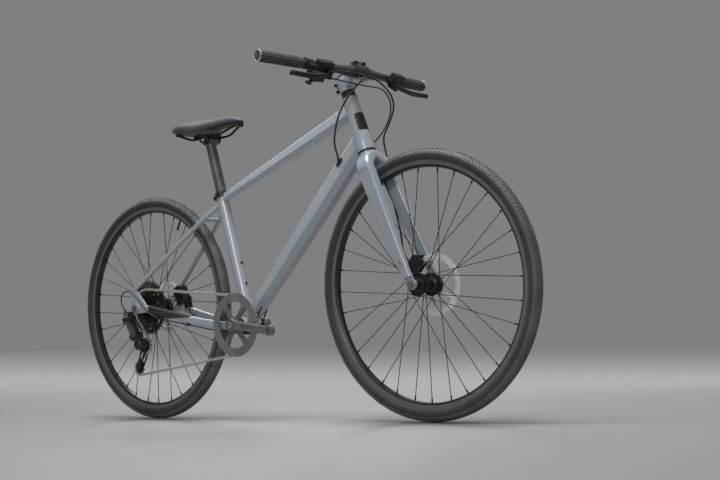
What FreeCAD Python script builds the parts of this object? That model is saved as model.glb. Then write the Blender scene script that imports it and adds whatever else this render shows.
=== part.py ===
import FreeCAD, Part
import math
import os

# Hybrid bicycle in millimetres. Origin on the ground midway between the axles,
# +X forward, +Y to the rider's left, +Z up. The drive side is -Y.

V = FreeCAD.Vector

# Overall layout
wheelbase = 1095.0
tyre_radius = 349.0
chainstay_length = 433.0
bb_drop = 72.0
head_angle = 71.8
fork_rake = 50.0
axle_to_crown = 397.0
seat_angle = 75.8
seat_tube_offset = 11.0

# Clearances
fit_gap = 0.05
seat_gap = 0.1
free_gap = 0.3

# Wheels
tyre_half_width = 19.0
tyre_wall = 3.2
rim_outer_radius = 317.5
rim_inner_radius = 300.0
rim_half_width = 12.0
rim_wall = 2.0
rim_floor = 7.0
spoke_count = 32
spoke_crosses = 3
spoke_radius = 1.0
nipple_radius = 2.0
nipple_length = 12.0
flange_thickness = 3.0
flange_hole_margin = 4.0
valve_radius = 3.0
valve_length = 34.0
front_valve_gap = 13
rear_valve_gap = 18
axle_radius = 5.0
hub_core_radius = 14.0
hub_end_inset = 8.0
front_hub_spacing = 101.0
front_flange_radius = 30.0
front_flange_right = -33.0
front_flange_left = 22.0
rear_hub_spacing = 135.0
rear_flange_radius = 30.0
rear_flange_right = -17.5
rear_flange_left = 32.0
axle_nut_radius = 9.0
axle_nut_length = 7.0

# Disc brakes
rotor_radius = 80.0
rotor_thickness = 1.8
rotor_track = 15.0
rotor_bolt_circle = 22.0
rotor_arms = 6
front_rotor_y = 39.5
rear_rotor_y = 52.0
caliper_length = 58.0
front_caliper_angle = 140.0
rear_caliper_angle = 25.5
pad_gap = 0.5
pad_thickness = 3.6

# Frame tubes
head_tube_length = 158.5
head_tube_low_radius = 26.0
head_tube_top_radius = 21.5
head_tube_bore = 18.0
cup_flange = 6.0
seat_tube_radius = 17.8
seat_tube_length = 406.0
seatpost_radius = 15.8
bb_shell_radius = 20.5
bb_shell_width = 68.0
bb_shell_bore = 17.4
bb_cup_radius = 21.0
bb_cup_width = 11.0
spindle_radius = 12.0
tube_wall = 2.2
top_tube_seat_drop = 19.0
top_tube_head_drop = 38.5
down_tube_head_rise = 31.0
dropout_thickness = 7.0
hanger_thickness = 5.0
hanger_back = 20.5
hanger_drop = 21.0

# Fork
blade_top_depth = 44.0
blade_top_width = 29.0
blade_end_depth = 26.0
blade_end_width = 15.0
blade_track_top = 43.0
steerer_radius = 14.3
steerer_wall = 2.3
crown_height = 42.0
fork_end_thickness = 8.0

# Cockpit
spacer_height = 14.0
stem_clamp_height = 42.0
stem_reach = 55.0
stem_rise = 10.0
bar_half_width = 326.0
bar_clamp_radius = 15.9
bar_radius = 11.1
bar_straight = 40.0
bar_sweep = 9.0
bar_rise = 2.0
lever_tilt = 40.0
grip_length = 130.0
grip_radius = 15.5
grip_end_cap = 4.0

# Saddle
post_setup = 168.0
post_inserted = 155.0
rail_radius = 3.5
rail_track = 22.0
post_head_half_width = 17.0
post_head_wall = 4.5
saddle_shell_thickness = 3.0

# Drivetrain
link_pitch = 12.7
roller_radius = 3.85
tooth_seat_radius = 4.15
tooth_height = 2.2
tooth_thickness = 1.8
chainring_teeth = 42
chainline_front = 47.5
guard_radius = 92.0
guard_thickness = 2.5
ring_bolt_circle = 55.0
crank_length = 170.0
crank_tilt = 7.5
crank_boss_radius = 18.0
crank_tip_radius = 14.5
crank_thickness = 14.0
crank_tread = 85.0
pedal_hole_radius = 7.14
cassette_teeth = (42, 34, 28, 24, 21, 18, 15, 13, 11)
cassette_inner_y = -25.5
cassette_pitch = 4.34
chain_on = 2
freehub_radius = 17.0
pulley_teeth = 11
cage_pivot_back = 8.5
cage_pivot_drop = 119.0
cage_length = 78.0
cage_lean = 33.5
link_swing = 51.0
link_slant = 25.5

# Reference points
rear_axle = V(-wheelbase / 2, 0, tyre_radius)
front_axle = V(wheelbase / 2, 0, tyre_radius)
bb = V(rear_axle.x + math.sqrt(chainstay_length ** 2 - bb_drop ** 2), 0, tyre_radius - bb_drop)
lateral = V(0, 1, 0)
head_up = V(-math.cos(math.radians(head_angle)), 0, math.sin(math.radians(head_angle)))
head_forward = V(math.sin(math.radians(head_angle)), 0, math.cos(math.radians(head_angle)))
steer_foot = front_axle - head_forward * fork_rake
seat_up = V(-math.cos(math.radians(seat_angle)), 0, math.sin(math.radians(seat_angle)))
seat_forward = V(math.sin(math.radians(seat_angle)), 0, math.cos(math.radians(seat_angle)))
seat_base = bb + V(seat_tube_offset, 0, 0)
head_low = axle_to_crown + cup_flange + free_gap
head_top = head_low + head_tube_length


def on_head(up, forward=0.0, y=0.0):
    """Point given by its height along the steering axis, forward of it and to the left."""
    return steer_foot + head_up * up + head_forward * forward + lateral * y


def on_seat(up, forward=0.0, y=0.0):
    """Point given by its height along the seat tube's axis, forward of it and to the left."""
    return seat_base + seat_up * up + seat_forward * forward + lateral * y


def rod(start, end, radius):
    """Solid cylinder from one point to another."""
    return Part.makeCylinder(radius, (end - start).Length, start, end - start)


def pipe(start, end, outer, inner):
    """Round tube from one point to another."""
    along = (end - start).normalize()
    return rod(start, end, outer).cut(rod(start - along, end + along, inner))


def block(centre, ex, ey, ez, size):
    """Box of the given full sizes along three square directions, about its centre."""
    ez = ex.cross(ey)
    corner = centre - ex * (size[0] / 2) - ey * (size[1] / 2) - ez * (size[2] / 2)
    box = Part.makeBox(size[0], size[1], size[2])
    turn = FreeCAD.Matrix(ex.x, ey.x, ez.x, corner.x, ex.y, ey.y, ez.y, corner.y, ex.z, ey.z, ez.z,
                          corner.z, 0, 0, 0, 1)
    box.Placement = FreeCAD.Placement(turn)
    return box


def outline(origin, across, up, corners, radius):
    """Closed wire through corners in a plane, each corner an arc of the given radius."""
    points = [origin + across * a + up * b for a, b in corners]
    count = len(points)
    arcs = []
    for i in range(count):
        corner = points[i]
        to_last = (points[i - 1] - corner).normalize()
        to_next = (points[(i + 1) % count] - corner).normalize()
        half = to_last.getAngle(to_next) / 2
        reach = radius / math.tan(half)
        middle = corner + (to_last + to_next).normalize() * (radius / math.sin(half) - radius)
        arcs.append((corner + to_last * reach, middle, corner + to_next * reach))
    edges = []
    for i in range(count):
        edges.append(Part.Arc(*arcs[i]).toShape())
        edges.append(Part.makeLine(arcs[i][2], arcs[(i + 1) % count][0]))
    return Part.Wire(edges)


def plate(wire, thickness):
    """Flat solid from a closed wire, pushed by a vector."""
    return Part.Face(wire).extrude(thickness)


def rectangle(half_width, half_height):
    """Corners of a rectangle about its centre."""
    return [(half_width, half_height), (-half_width, half_height), (-half_width, -half_height),
            (half_width, -half_height)]


def crease(half_width, half_height):
    """Corners of a formed tube: a broad upper side, a crease low on the flank and a narrow underside."""
    return [(0.72 * half_width, half_height), (-0.72 * half_width, half_height), (-half_width,
            -0.3 * half_height),
            (-0.6 * half_width, -half_height), (0.6 * half_width, -half_height), (half_width,
                    -0.3 * half_height)]


def formed_tube(stations, corners, corner_radius, wall):
    """Hollow loft through (centre, along, half width, half height) stations, with the given section."""
    outer = []
    inner = []
    for centre, along, half_width, half_height in stations:
        across = lateral
        up = along.cross(across).normalize() * -1
        if up.z < 0:
            up = up * -1
        outer.append(outline(centre, across, up, corners(half_width, half_height), corner_radius))
        inner.append(outline(centre, across, up, corners(half_width - wall, half_height - wall),
                             corner_radius - wall))
    solid = Part.makeLoft(outer, True, False)
    return solid, solid.cut(Part.makeLoft(inner, True, False))


def turned(centre, profile, axis=lateral, across=V(1, 0, 0)):
    """Solid of revolution about an axis through a centre, from (radius, height) corners."""
    points = [centre + across * r + axis * h for r, h in profile]
    wire = Part.makePolygon(points + points[:1])
    return Part.Face(wire).revolve(centre, axis, 360)


def mirrored(shape):
    """Copy on the other side of the bicycle's centre plane."""
    return shape.mirror(V(0, 0, 0), lateral)


def round_route(points, label):
    """Wire of straight runs joined by tangent arcs, each as large as its two runs allow."""
    edges = []
    start = points[0]
    tightest = None
    for i in range(1, len(points) - 1):
        corner = points[i]
        back = points[i - 1] - corner
        ahead = points[i + 1] - corner
        reach = 0.45 * min(back.Length, ahead.Length)
        to_last = V(back).normalize()
        to_next = V(ahead).normalize()
        half = to_last.getAngle(to_next) / 2
        radius = reach * math.tan(half)
        tightest = radius if tightest is None else min(tightest, radius)
        enter = corner + to_last * reach
        leave = corner + to_next * reach
        middle = corner + (to_last + to_next).normalize() * (radius / math.sin(half) - radius)
        edges.append(Part.LineSegment(start, enter).toShape())
        edges.append(Part.Arc(enter, middle, leave).toShape())
        start = leave
    edges.append(Part.LineSegment(start, points[-1]).toShape())
    print(label, "tightest radius", round(tightest, 1))
    return Part.Wire(edges)


def hose(points, radius, label):
    """Round tube along a route."""
    path = round_route(points, label)
    start = points[0]
    ring = Part.Wire(Part.makeCircle(radius, start, points[1] - start))
    tube = path.makePipeShell([ring], True, True)
    share = tube.Volume / (math.pi * radius ** 2 * path.Length)
    print(label, "length", round(path.Length, 1), "volume share", round(share, 4))
    return tube


def keep(node, *solids):
    """Write a node's solids to its own file."""
    shape = solids[0] if len(solids) == 1 else Part.makeCompound(list(solids))
    for solid in shape.Solids:
        if not solid.isValid():
            print("not valid:", node)
    shape.exportStep("parts/%s.step" % node)


os.makedirs("parts", exist_ok=True)


# Wheels

def tyre(centre):
    """Open tyre section: tread and sidewalls over the rim, beads inside its flanges."""
    mid = tyre_radius - tyre_half_width
    bead_half = rim_half_width - rim_wall - seat_gap
    lip = rim_outer_radius + seat_gap
    bead_low = rim_outer_radius - rim_floor + seat_gap
    lip_half = math.sqrt(tyre_half_width ** 2 - (mid - lip) ** 2)
    inside = tyre_half_width - tyre_wall

    def at(r, y):
        return centre + V(r, y, 0)

    turn = math.acos(min(1.0, (bead_half - tyre_wall) / inside))
    low = mid - inside * math.sin(turn)
    edges = [
        Part.Arc(at(lip, -lip_half), at(tyre_radius, 0), at(lip, lip_half)).toShape(),
        Part.makeLine(at(lip, lip_half), at(lip, bead_half)),
        Part.makeLine(at(lip, bead_half), at(bead_low, bead_half)),
        Part.makeLine(at(bead_low, bead_half), at(bead_low, bead_half - tyre_wall)),
        Part.makeLine(at(bead_low, bead_half - tyre_wall), at(low, bead_half - tyre_wall)),
        Part.Arc(at(low, bead_half - tyre_wall), at(mid + inside, 0), at(low,
                tyre_wall - bead_half)).toShape(),
        Part.makeLine(at(low, tyre_wall - bead_half), at(bead_low, tyre_wall - bead_half)),
        Part.makeLine(at(bead_low, tyre_wall - bead_half), at(bead_low, -bead_half)),
        Part.makeLine(at(bead_low, -bead_half), at(lip, -bead_half)),
        Part.makeLine(at(lip, -bead_half), at(lip, -lip_half)),
    ]
    return Part.Face(Part.Wire(edges)).revolve(centre, lateral, 360)


def rim(centre):
    """Box-section rim with a bead channel, hollow below its floor."""
    floor = rim_outer_radius - rim_floor
    nose = rim_half_width * 0.55
    outer = turned(centre, [
        (rim_outer_radius, rim_half_width), (rim_outer_radius, rim_half_width - rim_wall), (floor,
                rim_half_width - rim_wall),
        (floor, rim_wall - rim_half_width), (rim_outer_radius,
                                             rim_wall - rim_half_width), (rim_outer_radius,
                                                     -rim_half_width),
        (floor - rim_wall, -rim_half_width), (rim_inner_radius, -nose), (rim_inner_radius,
                nose), (floor - rim_wall, rim_half_width)])
    hollow = turned(centre, [
        (floor - rim_wall, rim_half_width - 1.5 * rim_wall), (floor - rim_wall,
                                                              1.5 * rim_wall - rim_half_width),
        (rim_inner_radius + rim_wall, rim_wall - nose), (rim_inner_radius + rim_wall, nose - rim_wall)])
    return outer.cut(hollow)


def spoke_hub_points(outward, shift):
    """Hub hole angle, rim angle and side of each spoke of one flange."""
    per_flange = spoke_count // 2
    step = 360.0 / per_flange
    for i in range(per_flange):
        angle = i * step + shift
        lead = 1 if i % 2 == 0 else -1
        yield angle, angle + lead * spoke_crosses * step, lead * outward


def spokes(centre, flange_radius, flanges):
    """Crossed spokes with elbow, head and nipple, for (flange y, outward sign, shift) flanges."""
    made = []
    hole_circle = flange_radius - flange_hole_margin
    for flange_y, outward, shift in flanges:
        for hub_angle, rim_angle, side in spoke_hub_points(outward, shift):
            a = math.radians(hub_angle)
            b = math.radians(rim_angle)
            hole = centre + V(hole_circle * math.cos(a), flange_y, hole_circle * math.sin(a))
            lean_room = 1.1 if side == outward else 0.0
            elbow = hole + lateral * (side * (flange_thickness / 2 + spoke_radius + seat_gap + lean_room))
            seat = centre + V(math.cos(b), 0,
                              math.sin(b)) * (rim_inner_radius - fit_gap) + lateral * (outward * 2.0)
            along = (seat - elbow).normalize()
            radial = V(math.cos(b), 0, math.sin(b))
            nipple_foot = seat - along * nipple_length
            nipple = rod(nipple_foot, seat + along * 3.0, nipple_radius)
            trim = block(seat + radial * 10.0, radial, lateral, radial.cross(lateral), (20.0, 20.0, 20.0))
            nipple = nipple.cut(trim)
            head = hole - lateral * (side * (flange_thickness / 2 + seat_gap))
            shank = rod(elbow, head, spoke_radius)
            cap = rod(head, head - lateral * side, 1.9 * spoke_radius)
            ball = Part.makeSphere(spoke_radius, elbow)
            made.append(rod(elbow, seat - along * 2.0, spoke_radius).multiFuse([nipple, shank, cap, ball]))
    return made


def hub(centre, flange_radius, right, left, right_end, left_end, rotor_y):
    """Hub shell with two drilled flanges and the rotor's seat on its left end."""
    t = flange_thickness / 2
    bore = axle_radius + fit_gap
    seat_face = rotor_y - rotor_thickness / 2
    neck = hub_core_radius
    boss = rotor_bolt_circle + 5.0
    foot = flange_radius - 2 * flange_hole_margin
    profile = [
        (bore, right_end), (neck - 2.0, right_end), (neck, right - t - 3.0), (foot,
                right - t), (flange_radius, right - t),
        (flange_radius, right + t), (foot, right + t), (neck, right + t + 5.0), (neck,
                left - t - 5.0), (foot, left - t),
        (flange_radius, left - t), (flange_radius, left + t), (foot, left + t),
        (neck + 2.0, left + t + 2.5), (boss, seat_face - 4.0), (boss, seat_face), (neck - 1.0, seat_face),
        (neck - 1.0, left_end), (bore, left_end)]
    shell = turned(centre, profile)
    holes = []
    hole_circle = flange_radius - flange_hole_margin
    for flange_y, outward, shift in ((right, -1, 0.0), (left, 1, 180.0 / spoke_count * 2)):
        for angle, _, _ in spoke_hub_points(outward, shift):
            a = math.radians(angle)
            spot = centre + V(hole_circle * math.cos(a), flange_y, hole_circle * math.sin(a))
            holes.append(rod(spot - lateral * (t + 1.5), spot + lateral * (t + 1.5),
                             spoke_radius + seat_gap))
    return shell.cut(Part.makeCompound(holes))


def rotor(centre, y):
    """Drilled brake disc on a spider of slanted arms, with its screws."""
    base = centre + lateral * (y - rotor_thickness / 2)
    across = lateral * rotor_thickness
    inner = rotor_radius - rotor_track
    track = pipe(base, base + across, rotor_radius, inner)
    seat_radius = rotor_bolt_circle + 5.0
    seat_bore = hub_core_radius - 1.0 + seat_gap
    seat = pipe(base, base + across, seat_radius, seat_bore)
    arms = []
    drilled = []
    screws = []
    for i in range(rotor_arms):
        a = math.radians(i * 360.0 / rotor_arms)
        lean = math.radians(28.0)
        foot = V(math.cos(a), 0, math.sin(a)) * (seat_radius - 3.0)
        tip = V(math.cos(a + lean), 0, math.sin(a + lean)) * (inner + 2.0)
        along = (tip - foot)
        side = along.cross(lateral).normalize()
        middle = base + across * 0.5 + (foot + tip) * 0.5
        arms.append(block(middle, V(along).normalize(), lateral, side, (along.Length, rotor_thickness,
                7.0)))
        spot = V(math.cos(a), 0, math.sin(a)) * rotor_bolt_circle
        drilled.append(rod(base + spot - across, base + spot + across * 2, 2.6))
        screws.append(rod(base + spot, base + spot + across, 2.5).fuse(
            rod(base + spot + across, base + spot + across + lateral * 2.0, 3.8)))
    rows = ((0.28, 0.0, 2.2), (0.55, 0.4, 1.8), (0.78, 0.8, 2.2))
    count = 24
    for share, shift, size in rows:
        for i in range(count):
            a = math.radians((i + shift) * 360.0 / count)
            spot = V(math.cos(a), 0, math.sin(a)) * (inner + share * rotor_track)
            drilled.append(rod(base + spot - across, base + spot + across * 2, size))
    disc = track.multiFuse([seat] + arms).cut(Part.makeCompound(drilled))
    return [disc] + screws


def valve(centre, gap):
    """Valve stem standing inward from the rim, in a numbered gap between spokes counted from the lowest."""
    start = centre - V(0, 0, rim_inner_radius - fit_gap)
    body = rod(start, start + V(0, 0, valve_length), valve_radius)
    cap = rod(start + V(0, 0, valve_length - 12.0), start + V(0, 0, valve_length), valve_radius + 0.8)
    stem_and_cap = body.fuse(cap)
    stem_and_cap.rotate(centre, lateral, (gap + 0.5) * 360.0 / spoke_count)
    return stem_and_cap


wheels = (
    ("front", front_axle, front_flange_radius, front_flange_right, front_flange_left, front_hub_spacing / 2,
     hub_end_inset - front_hub_spacing / 2, front_rotor_y, front_valve_gap),
    ("rear", rear_axle, rear_flange_radius, rear_flange_right, rear_flange_left, rear_hub_spacing / 2,
     rear_flange_right - flange_thickness / 2 - 3.5, rear_rotor_y, rear_valve_gap))
for name, centre, flange_radius, right, left, half_spacing, right_end, rotor_y, valve_gap in wheels:
    keep(name + "_tyre", tyre(centre))
    keep(name + "_rim", rim(centre), valve(centre, valve_gap))
    left_shift = 180.0 / spoke_count * 2
    keep(name + "_spokes", *spokes(centre, flange_radius, ((right, -1, 0.0), (left, 1, left_shift))))
    keep(name + "_hub", hub(centre, flange_radius, right, left, right_end, half_spacing - hub_end_inset,
                            rotor_y))
    keep(name + "_rotor", *rotor(centre, rotor_y))


# Frame

def head_tube_solid(bore):
    """Tapered head tube; a bore of nothing gives the space that the other tubes are mitred to."""
    low = head_tube_low_radius
    top = head_tube_top_radius
    return turned(steer_foot, [
        (bore, head_low), (low, head_low), (low, head_low + 0.14 * head_tube_length),
        (top + 1.0, head_low + 0.45 * head_tube_length), (top, head_low + 0.8 * head_tube_length),
        (top, head_top), (bore, head_top)], head_up, head_forward)


def bearing_cups():
    """Headset cups pressed into the head tube, and the threaded cups of the bottom bracket."""
    bore = steerer_radius + fit_gap
    low = turned(steer_foot, [
        (bore, head_low - cup_flange), (head_tube_low_radius - 0.6, head_low - cup_flange),
        (head_tube_low_radius - 0.6, head_low), (head_tube_bore, head_low), (head_tube_bore,
                head_low + 14.0),
        (bore, head_low + 14.0)], head_up, head_forward)
    top = turned(steer_foot, [
        (bore, head_top - 14.0), (head_tube_bore, head_top - 14.0), (head_tube_bore, head_top),
        (head_tube_top_radius - 0.4, head_top), (head_tube_top_radius - 1.6, head_top + cup_flange),
        (bore, head_top + cup_flange)], head_up, head_forward)
    half = bb_shell_width / 2
    bore = spindle_radius + fit_gap
    right = turned(bb, [
        (bore, -half - bb_cup_width), (bb_cup_radius, -half - bb_cup_width), (bb_cup_radius, -half),
        (bb_shell_bore, -half), (bb_shell_bore, 15.0 - half), (bore, 15.0 - half)])
    return [low, top, right, mirrored(right)]


head_space = head_tube_solid(0.0)
bb_space = rod(bb - lateral * (bb_shell_width / 2), bb + lateral * (bb_shell_width / 2), bb_shell_radius)
seat_space = rod(on_seat(0), on_seat(seat_tube_length), seat_tube_radius)
down_end = on_head(head_low + down_tube_head_rise)
down_along = (down_end - bb).normalize()
down_up = V(-down_along.z, 0, down_along.x)
down_length = (down_end - bb).Length
down_half_width = 21.5
down_half_depth = 26.0
down_half_depth_low = bb_shell_radius - 4.0
top_start = on_seat(seat_tube_length - top_tube_seat_drop)
top_end = on_head(head_top - top_tube_head_drop)
top_along = (top_end - top_start).normalize()


def on_down(along, up=0.0, y=0.0):
    """Point given by its distance along the down tube from the crank axis, above its axis and to the left."""
    return bb + down_along * along + down_up * up + lateral * y


down_space, down_tube = formed_tube([
    (bb, down_along, 21.0, down_half_depth_low), (on_down(0.3 * down_length), down_along, 22.5, 25.0),
    (down_end, down_along, down_half_width, down_half_depth)], crease, 7.0, tube_wall)
head_clear = rod(on_head(head_low - 60.0), on_head(head_low + 1.0), head_tube_low_radius)
down_tube = down_tube.cut(bb_space).cut(head_space).cut(seat_space).cut(head_clear)
down_tube = max(down_tube.Solids, key=lambda solid: solid.Volume)
_, top_tube = formed_tube([
    (top_start, top_along, 14.0, 13.5), (top_start + (top_end - top_start) * 0.5, top_along, 17.0, 17.0),
    (top_end, top_along, 19.0, 22.0)], crease, 5.0, tube_wall)
collar_height = 12.0
collar_wall = 3.5
collar_clear = rod(on_seat(seat_tube_length - collar_height - free_gap), on_seat(seat_tube_length + 20.0),
                   seat_tube_radius + collar_wall + free_gap)
top_tube = top_tube.cut(seat_space).cut(head_space).cut(collar_clear)
top_tube = max(top_tube.Solids, key=lambda solid: solid.Volume)


def seat_tube():
    """Round seat tube, bored for the post and slotted at the back of its top."""
    bored = seat_space.cut(rod(on_seat(45.0), on_seat(seat_tube_length + 1.0), seatpost_radius + fit_gap))
    slot = block(on_seat(seat_tube_length - 8.0, -seat_tube_radius), seat_forward, lateral, seat_up, (12.0,
            2.5, 30.0))
    return bored.cut(slot).cut(bb_space)


stay_section_radius = 5.0
chainstay_end = V(rear_axle.x + 42.5, rear_hub_spacing / 2 + 2.5, rear_axle.z - 4.5)
chainstay_stations = (
    (V(bb.x - 14.0, 24.0, bb.z - 5.0), 9.0, 13.0),
    (V(bb.x - 95.0, 35.5, bb.z + 4.0), 7.5, 12.0),
    (V(bb.x - 210.0, 50.0, bb.z + 26.0), 8.0, 11.5),
    (chainstay_end, 6.5, 11.5))


def stay(stations, grow):
    """Stay lofted through (centre, half width, half height) stations, grown or shrunk by a wall."""
    wires = []
    for centre, half_width, half_height in stations:
        wires.append(outline(centre, lateral, V(0, 0, 1), rectangle(half_width + grow, half_height + grow),
                             stay_section_radius + grow))
    return Part.makeLoft(wires, True, False)


def hollow_stay(stations):
    """Stay with its wall."""
    return stay(stations, 0.0).cut(stay(stations, -tube_wall))


seatstay_root = on_seat((640.0 - seat_base.z) / seat_up.z)
right_seatstay_end = V(rear_axle.x - 8.5, rear_hub_spacing / 2 + 3.0, rear_axle.z + 56.0)
left_seatstay_end = V(rear_axle.x + 34.5, rear_hub_spacing / 2 + 3.0, rear_axle.z + 53.0)


def seatstay_stations(end):
    """Seatstay from inside the seat tube, past the tyre, to the dropout."""
    run = end - V(seatstay_root.x, 0, seatstay_root.z)

    def at(share, y):
        return V(seatstay_root.x + run.x * share, y, seatstay_root.z + run.z * share)

    return ((at(0.0, 9.5), 5.5, 7.5), (at(0.12, 24.0), 6.5, 8.0), (at(0.27, 35.0), 6.5, 8.0),
            (at(0.5, 46.2), 6.2, 8.0), (at(0.75, 58.3), 5.8, 8.0), (end, 5.5, 8.0))


left_chainstay = stay(chainstay_stations, 0.0)
right_chainstay = mirrored(left_chainstay)
left_seatstay_space = stay(seatstay_stations(left_seatstay_end), 0.0)
right_seatstay_space = mirrored(stay(seatstay_stations(right_seatstay_end), 0.0))


def seatstays():
    """Two stays and the bridge between them above the tyre."""
    left = hollow_stay(seatstay_stations(left_seatstay_end)).cut(seat_space)
    right = mirrored(hollow_stay(seatstay_stations(right_seatstay_end))).cut(seat_space)
    middle = V(seatstay_root.x - 60.0, 0, seatstay_root.z - 42.5)
    bridge = rod(middle - lateral * 29.0, middle + lateral * 29.0, 6.0)
    bridge = bridge.cut(left_seatstay_space).cut(right_seatstay_space)
    largest = max(bridge.Solids, key=lambda solid: solid.Volume)
    return [left, right, largest]


def dropout(corners, y, space):
    """Flat axle plate between a chainstay and a seatstay."""
    wire = outline(rear_axle + lateral * y, V(1, 0, 0), V(0, 0, 1), corners, 6.0)
    hole = rod(rear_axle + lateral * (y - 1.0), rear_axle + lateral * (y + dropout_thickness + 1.0),
               axle_radius + seat_gap)
    body = plate(wire, lateral * dropout_thickness).cut(hole)
    for part in space:
        body = body.cut(part)
    return max(body.Solids, key=lambda solid: solid.Volume)


def dropouts():
    """Axle plates, and the hanger bolted outside the right one."""
    inner = rear_hub_spacing / 2
    right = dropout([(-24.5, 48.0), (-5.5, 60.0), (44.0, 8.0), (44.0, -17.0), (-8.5, -18.0), (-18.5, -2.0)],
                    -inner - dropout_thickness, (right_chainstay, right_seatstay_space))
    left = dropout([(10.0, 46.0), (36.0, 61.0), (58.0, 10.0), (44.0, -17.0), (-10.0, -17.0), (-17.0, 0.0)],
                   inner, (left_chainstay, left_seatstay_space))
    face = rear_axle - lateral * (inner + dropout_thickness)
    out = lateral * -hanger_thickness
    eye = face + V(-hanger_back, 0, -hanger_drop)
    arm_along = V(-hanger_back, 0, -hanger_drop).normalize()
    middle = (face + eye) * 0.5 + out * 0.5
    reach = math.hypot(hanger_back, hanger_drop)
    arm = block(middle, arm_along, lateral, arm_along.cross(lateral), (reach, hanger_thickness, 17.0))
    hanger = rod(face, face + out, 13.0).multiFuse([rod(eye, eye + out, 9.5), arm])
    hanger = hanger.cut(rod(face - out, face + out * 2, axle_radius + seat_gap))
    hanger = hanger.cut(rod(eye - out, eye + out * 2, hanger_bolt_radius + seat_gap)).cut(right_chainstay)
    return [right, left, max(hanger.Solids, key=lambda solid: solid.Volume)]


hanger_bolt_radius = 5.0
hanger_eye = rear_axle + V(-hanger_back, 0, -hanger_drop)


def seat_collar():
    """Clamp ring round the top of the seat tube, with its ear and bolt at the back."""
    low = on_seat(seat_tube_length - collar_height)
    top = on_seat(seat_tube_length)
    lip = on_seat(seat_tube_length + 3.0)
    ring = pipe(low, lip, seat_tube_radius + collar_wall, seat_tube_radius + fit_gap)
    ring = ring.fuse(pipe(top, lip, seat_tube_radius + collar_wall, seatpost_radius + free_gap))
    ear_centre = on_seat(seat_tube_length - 5.0, -seat_tube_radius - 7.0)
    ear = block(ear_centre, seat_forward, lateral, seat_up, (11.0, 16.0, 12.0))
    ear = ear.cut(rod(low - seat_up * 5.0, lip + seat_up * 5.0, seat_tube_radius + fit_gap))
    hole_centre = ear_centre - seat_forward * 1.0
    hole = rod(hole_centre - lateral * 10.0, hole_centre + lateral * 10.0, 2.6)
    collar = ring.fuse(ear).cut(hole)
    bolt = rod(hole_centre - lateral * 10.0, hole_centre + lateral * 8.0, 2.5)
    head = rod(hole_centre + lateral * 8.1, hole_centre + lateral * 12.0, 4.2)
    nut = rod(hole_centre - lateral * 8.1, hole_centre - lateral * 10.5, 4.0)
    return [collar, bolt.fuse(head).fuse(nut).fuse(rod(hole_centre + lateral * 7.0,
                                                       hole_centre + lateral * 9.0, 2.5))]


bottle_spacing = 64.0


def down_top(along):
    """Point on the upper side of the down tube."""
    depth = down_space.common(Part.makeLine(on_down(along), on_down(along, 60.0))).Length
    return on_down(along, depth)


bottle_bolt_seats = (
    (on_seat(119.5, seat_tube_radius), seat_forward), (on_seat(119.5 + bottle_spacing, seat_tube_radius),
                                                       seat_forward),
    (down_top(0.42 * down_length), down_up), (down_top(0.42 * down_length + bottle_spacing), down_up))


def bottle_bolts():
    """Button-head bolts of the two bottle-cage positions."""
    made = []
    for spot, out in bottle_bolt_seats:
        shank = rod(spot - out * 4.0, spot + out, 2.5)
        head = Part.makeCone(4.2, 3.0, 3.0, spot + out * 0.3, out)
        made.append(shank.fuse(head))
    return made


bolt_holes = [rod(spot - out * 6.0, spot + out * 2.0, 2.55) for spot, out in bottle_bolt_seats]


def chainstay_guard():
    """Rubber strip over the drive-side chainstay, below the chain."""
    skin = mirrored(stay(chainstay_stations, 1.3)).cut(mirrored(stay(chainstay_stations, fit_gap)))
    reach = block(V(rear_axle.x + 145.0, -rear_hub_spacing / 2, rear_axle.z - 10.0), V(1, 0, 0), lateral,
                  V(0, 0, 1), (170.0, 90.0, 60.0))
    cover = skin.common(reach)
    lean = math.atan2(chainstay_end.z - chainstay_stations[2][0].z,
                      chainstay_stations[2][0].x - chainstay_end.x)
    along = V(math.cos(lean), 0, -math.sin(lean))
    under = block(chainstay_stations[2][0] + V(-60.0, -50.0, 16.0 - 56.0), along, lateral,
                  along.cross(lateral), (420.0, 250.0, 80.0))
    return max(cover.cut(under).Solids, key=lambda solid: solid.Volume)


def axle(centre, half_inner, plates, cap_reach):
    """Axle with its inner locknuts, and the nuts outside the fork or frame ends."""
    right_plate, left_plate = plates
    right = half_inner + right_plate
    left = half_inner + left_plate
    bar = rod(centre - lateral * (right + axle_nut_length + 3.0),
              centre + lateral * (left + axle_nut_length + 3.0), axle_radius)
    parts = [
        rod(centre - lateral * (right + fit_gap), centre - lateral * (right + axle_nut_length),
            axle_nut_radius),
        rod(centre + lateral * (left + fit_gap), centre + lateral * (left + axle_nut_length),
            axle_nut_radius)]
    for inner, outer in cap_reach:
        parts.append(rod(centre + lateral * inner, centre + lateral * outer, axle_radius + 4.0))
    return bar.multiFuse(parts)


keep("head_tube", head_tube_solid(head_tube_bore))
keep("bearing_cups", *bearing_cups())
keep("bottom_bracket_shell", pipe(bb - lateral * (bb_shell_width / 2), bb + lateral * (bb_shell_width / 2),
                                  bb_shell_radius, bb_shell_bore))
keep("top_tube", top_tube)
keep("seat_tube", seat_tube().cut(Part.makeCompound(bolt_holes[:2])))
keep("chainstays", hollow_stay(chainstay_stations).cut(bb_space),
     mirrored(hollow_stay(chainstay_stations)).cut(bb_space))
keep("seatstays", *seatstays())
keep("dropouts", *dropouts())
keep("seat_collar", *seat_collar())
keep("bottle_bolts", *bottle_bolts())
guard = chainstay_guard()
keep("chainstay_guard", guard)
front_inner = front_hub_spacing / 2
rear_inner = rear_hub_spacing / 2
keep("front_axle", axle(front_axle, front_inner, (fork_end_thickness, fork_end_thickness),
                        ((-front_inner, hub_end_inset - free_gap - front_inner),
                         (front_inner - hub_end_inset + free_gap, front_inner))))
freehub_end = cassette_inner_y - cassette_pitch * (len(cassette_teeth) - 1) - 3.5
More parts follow.
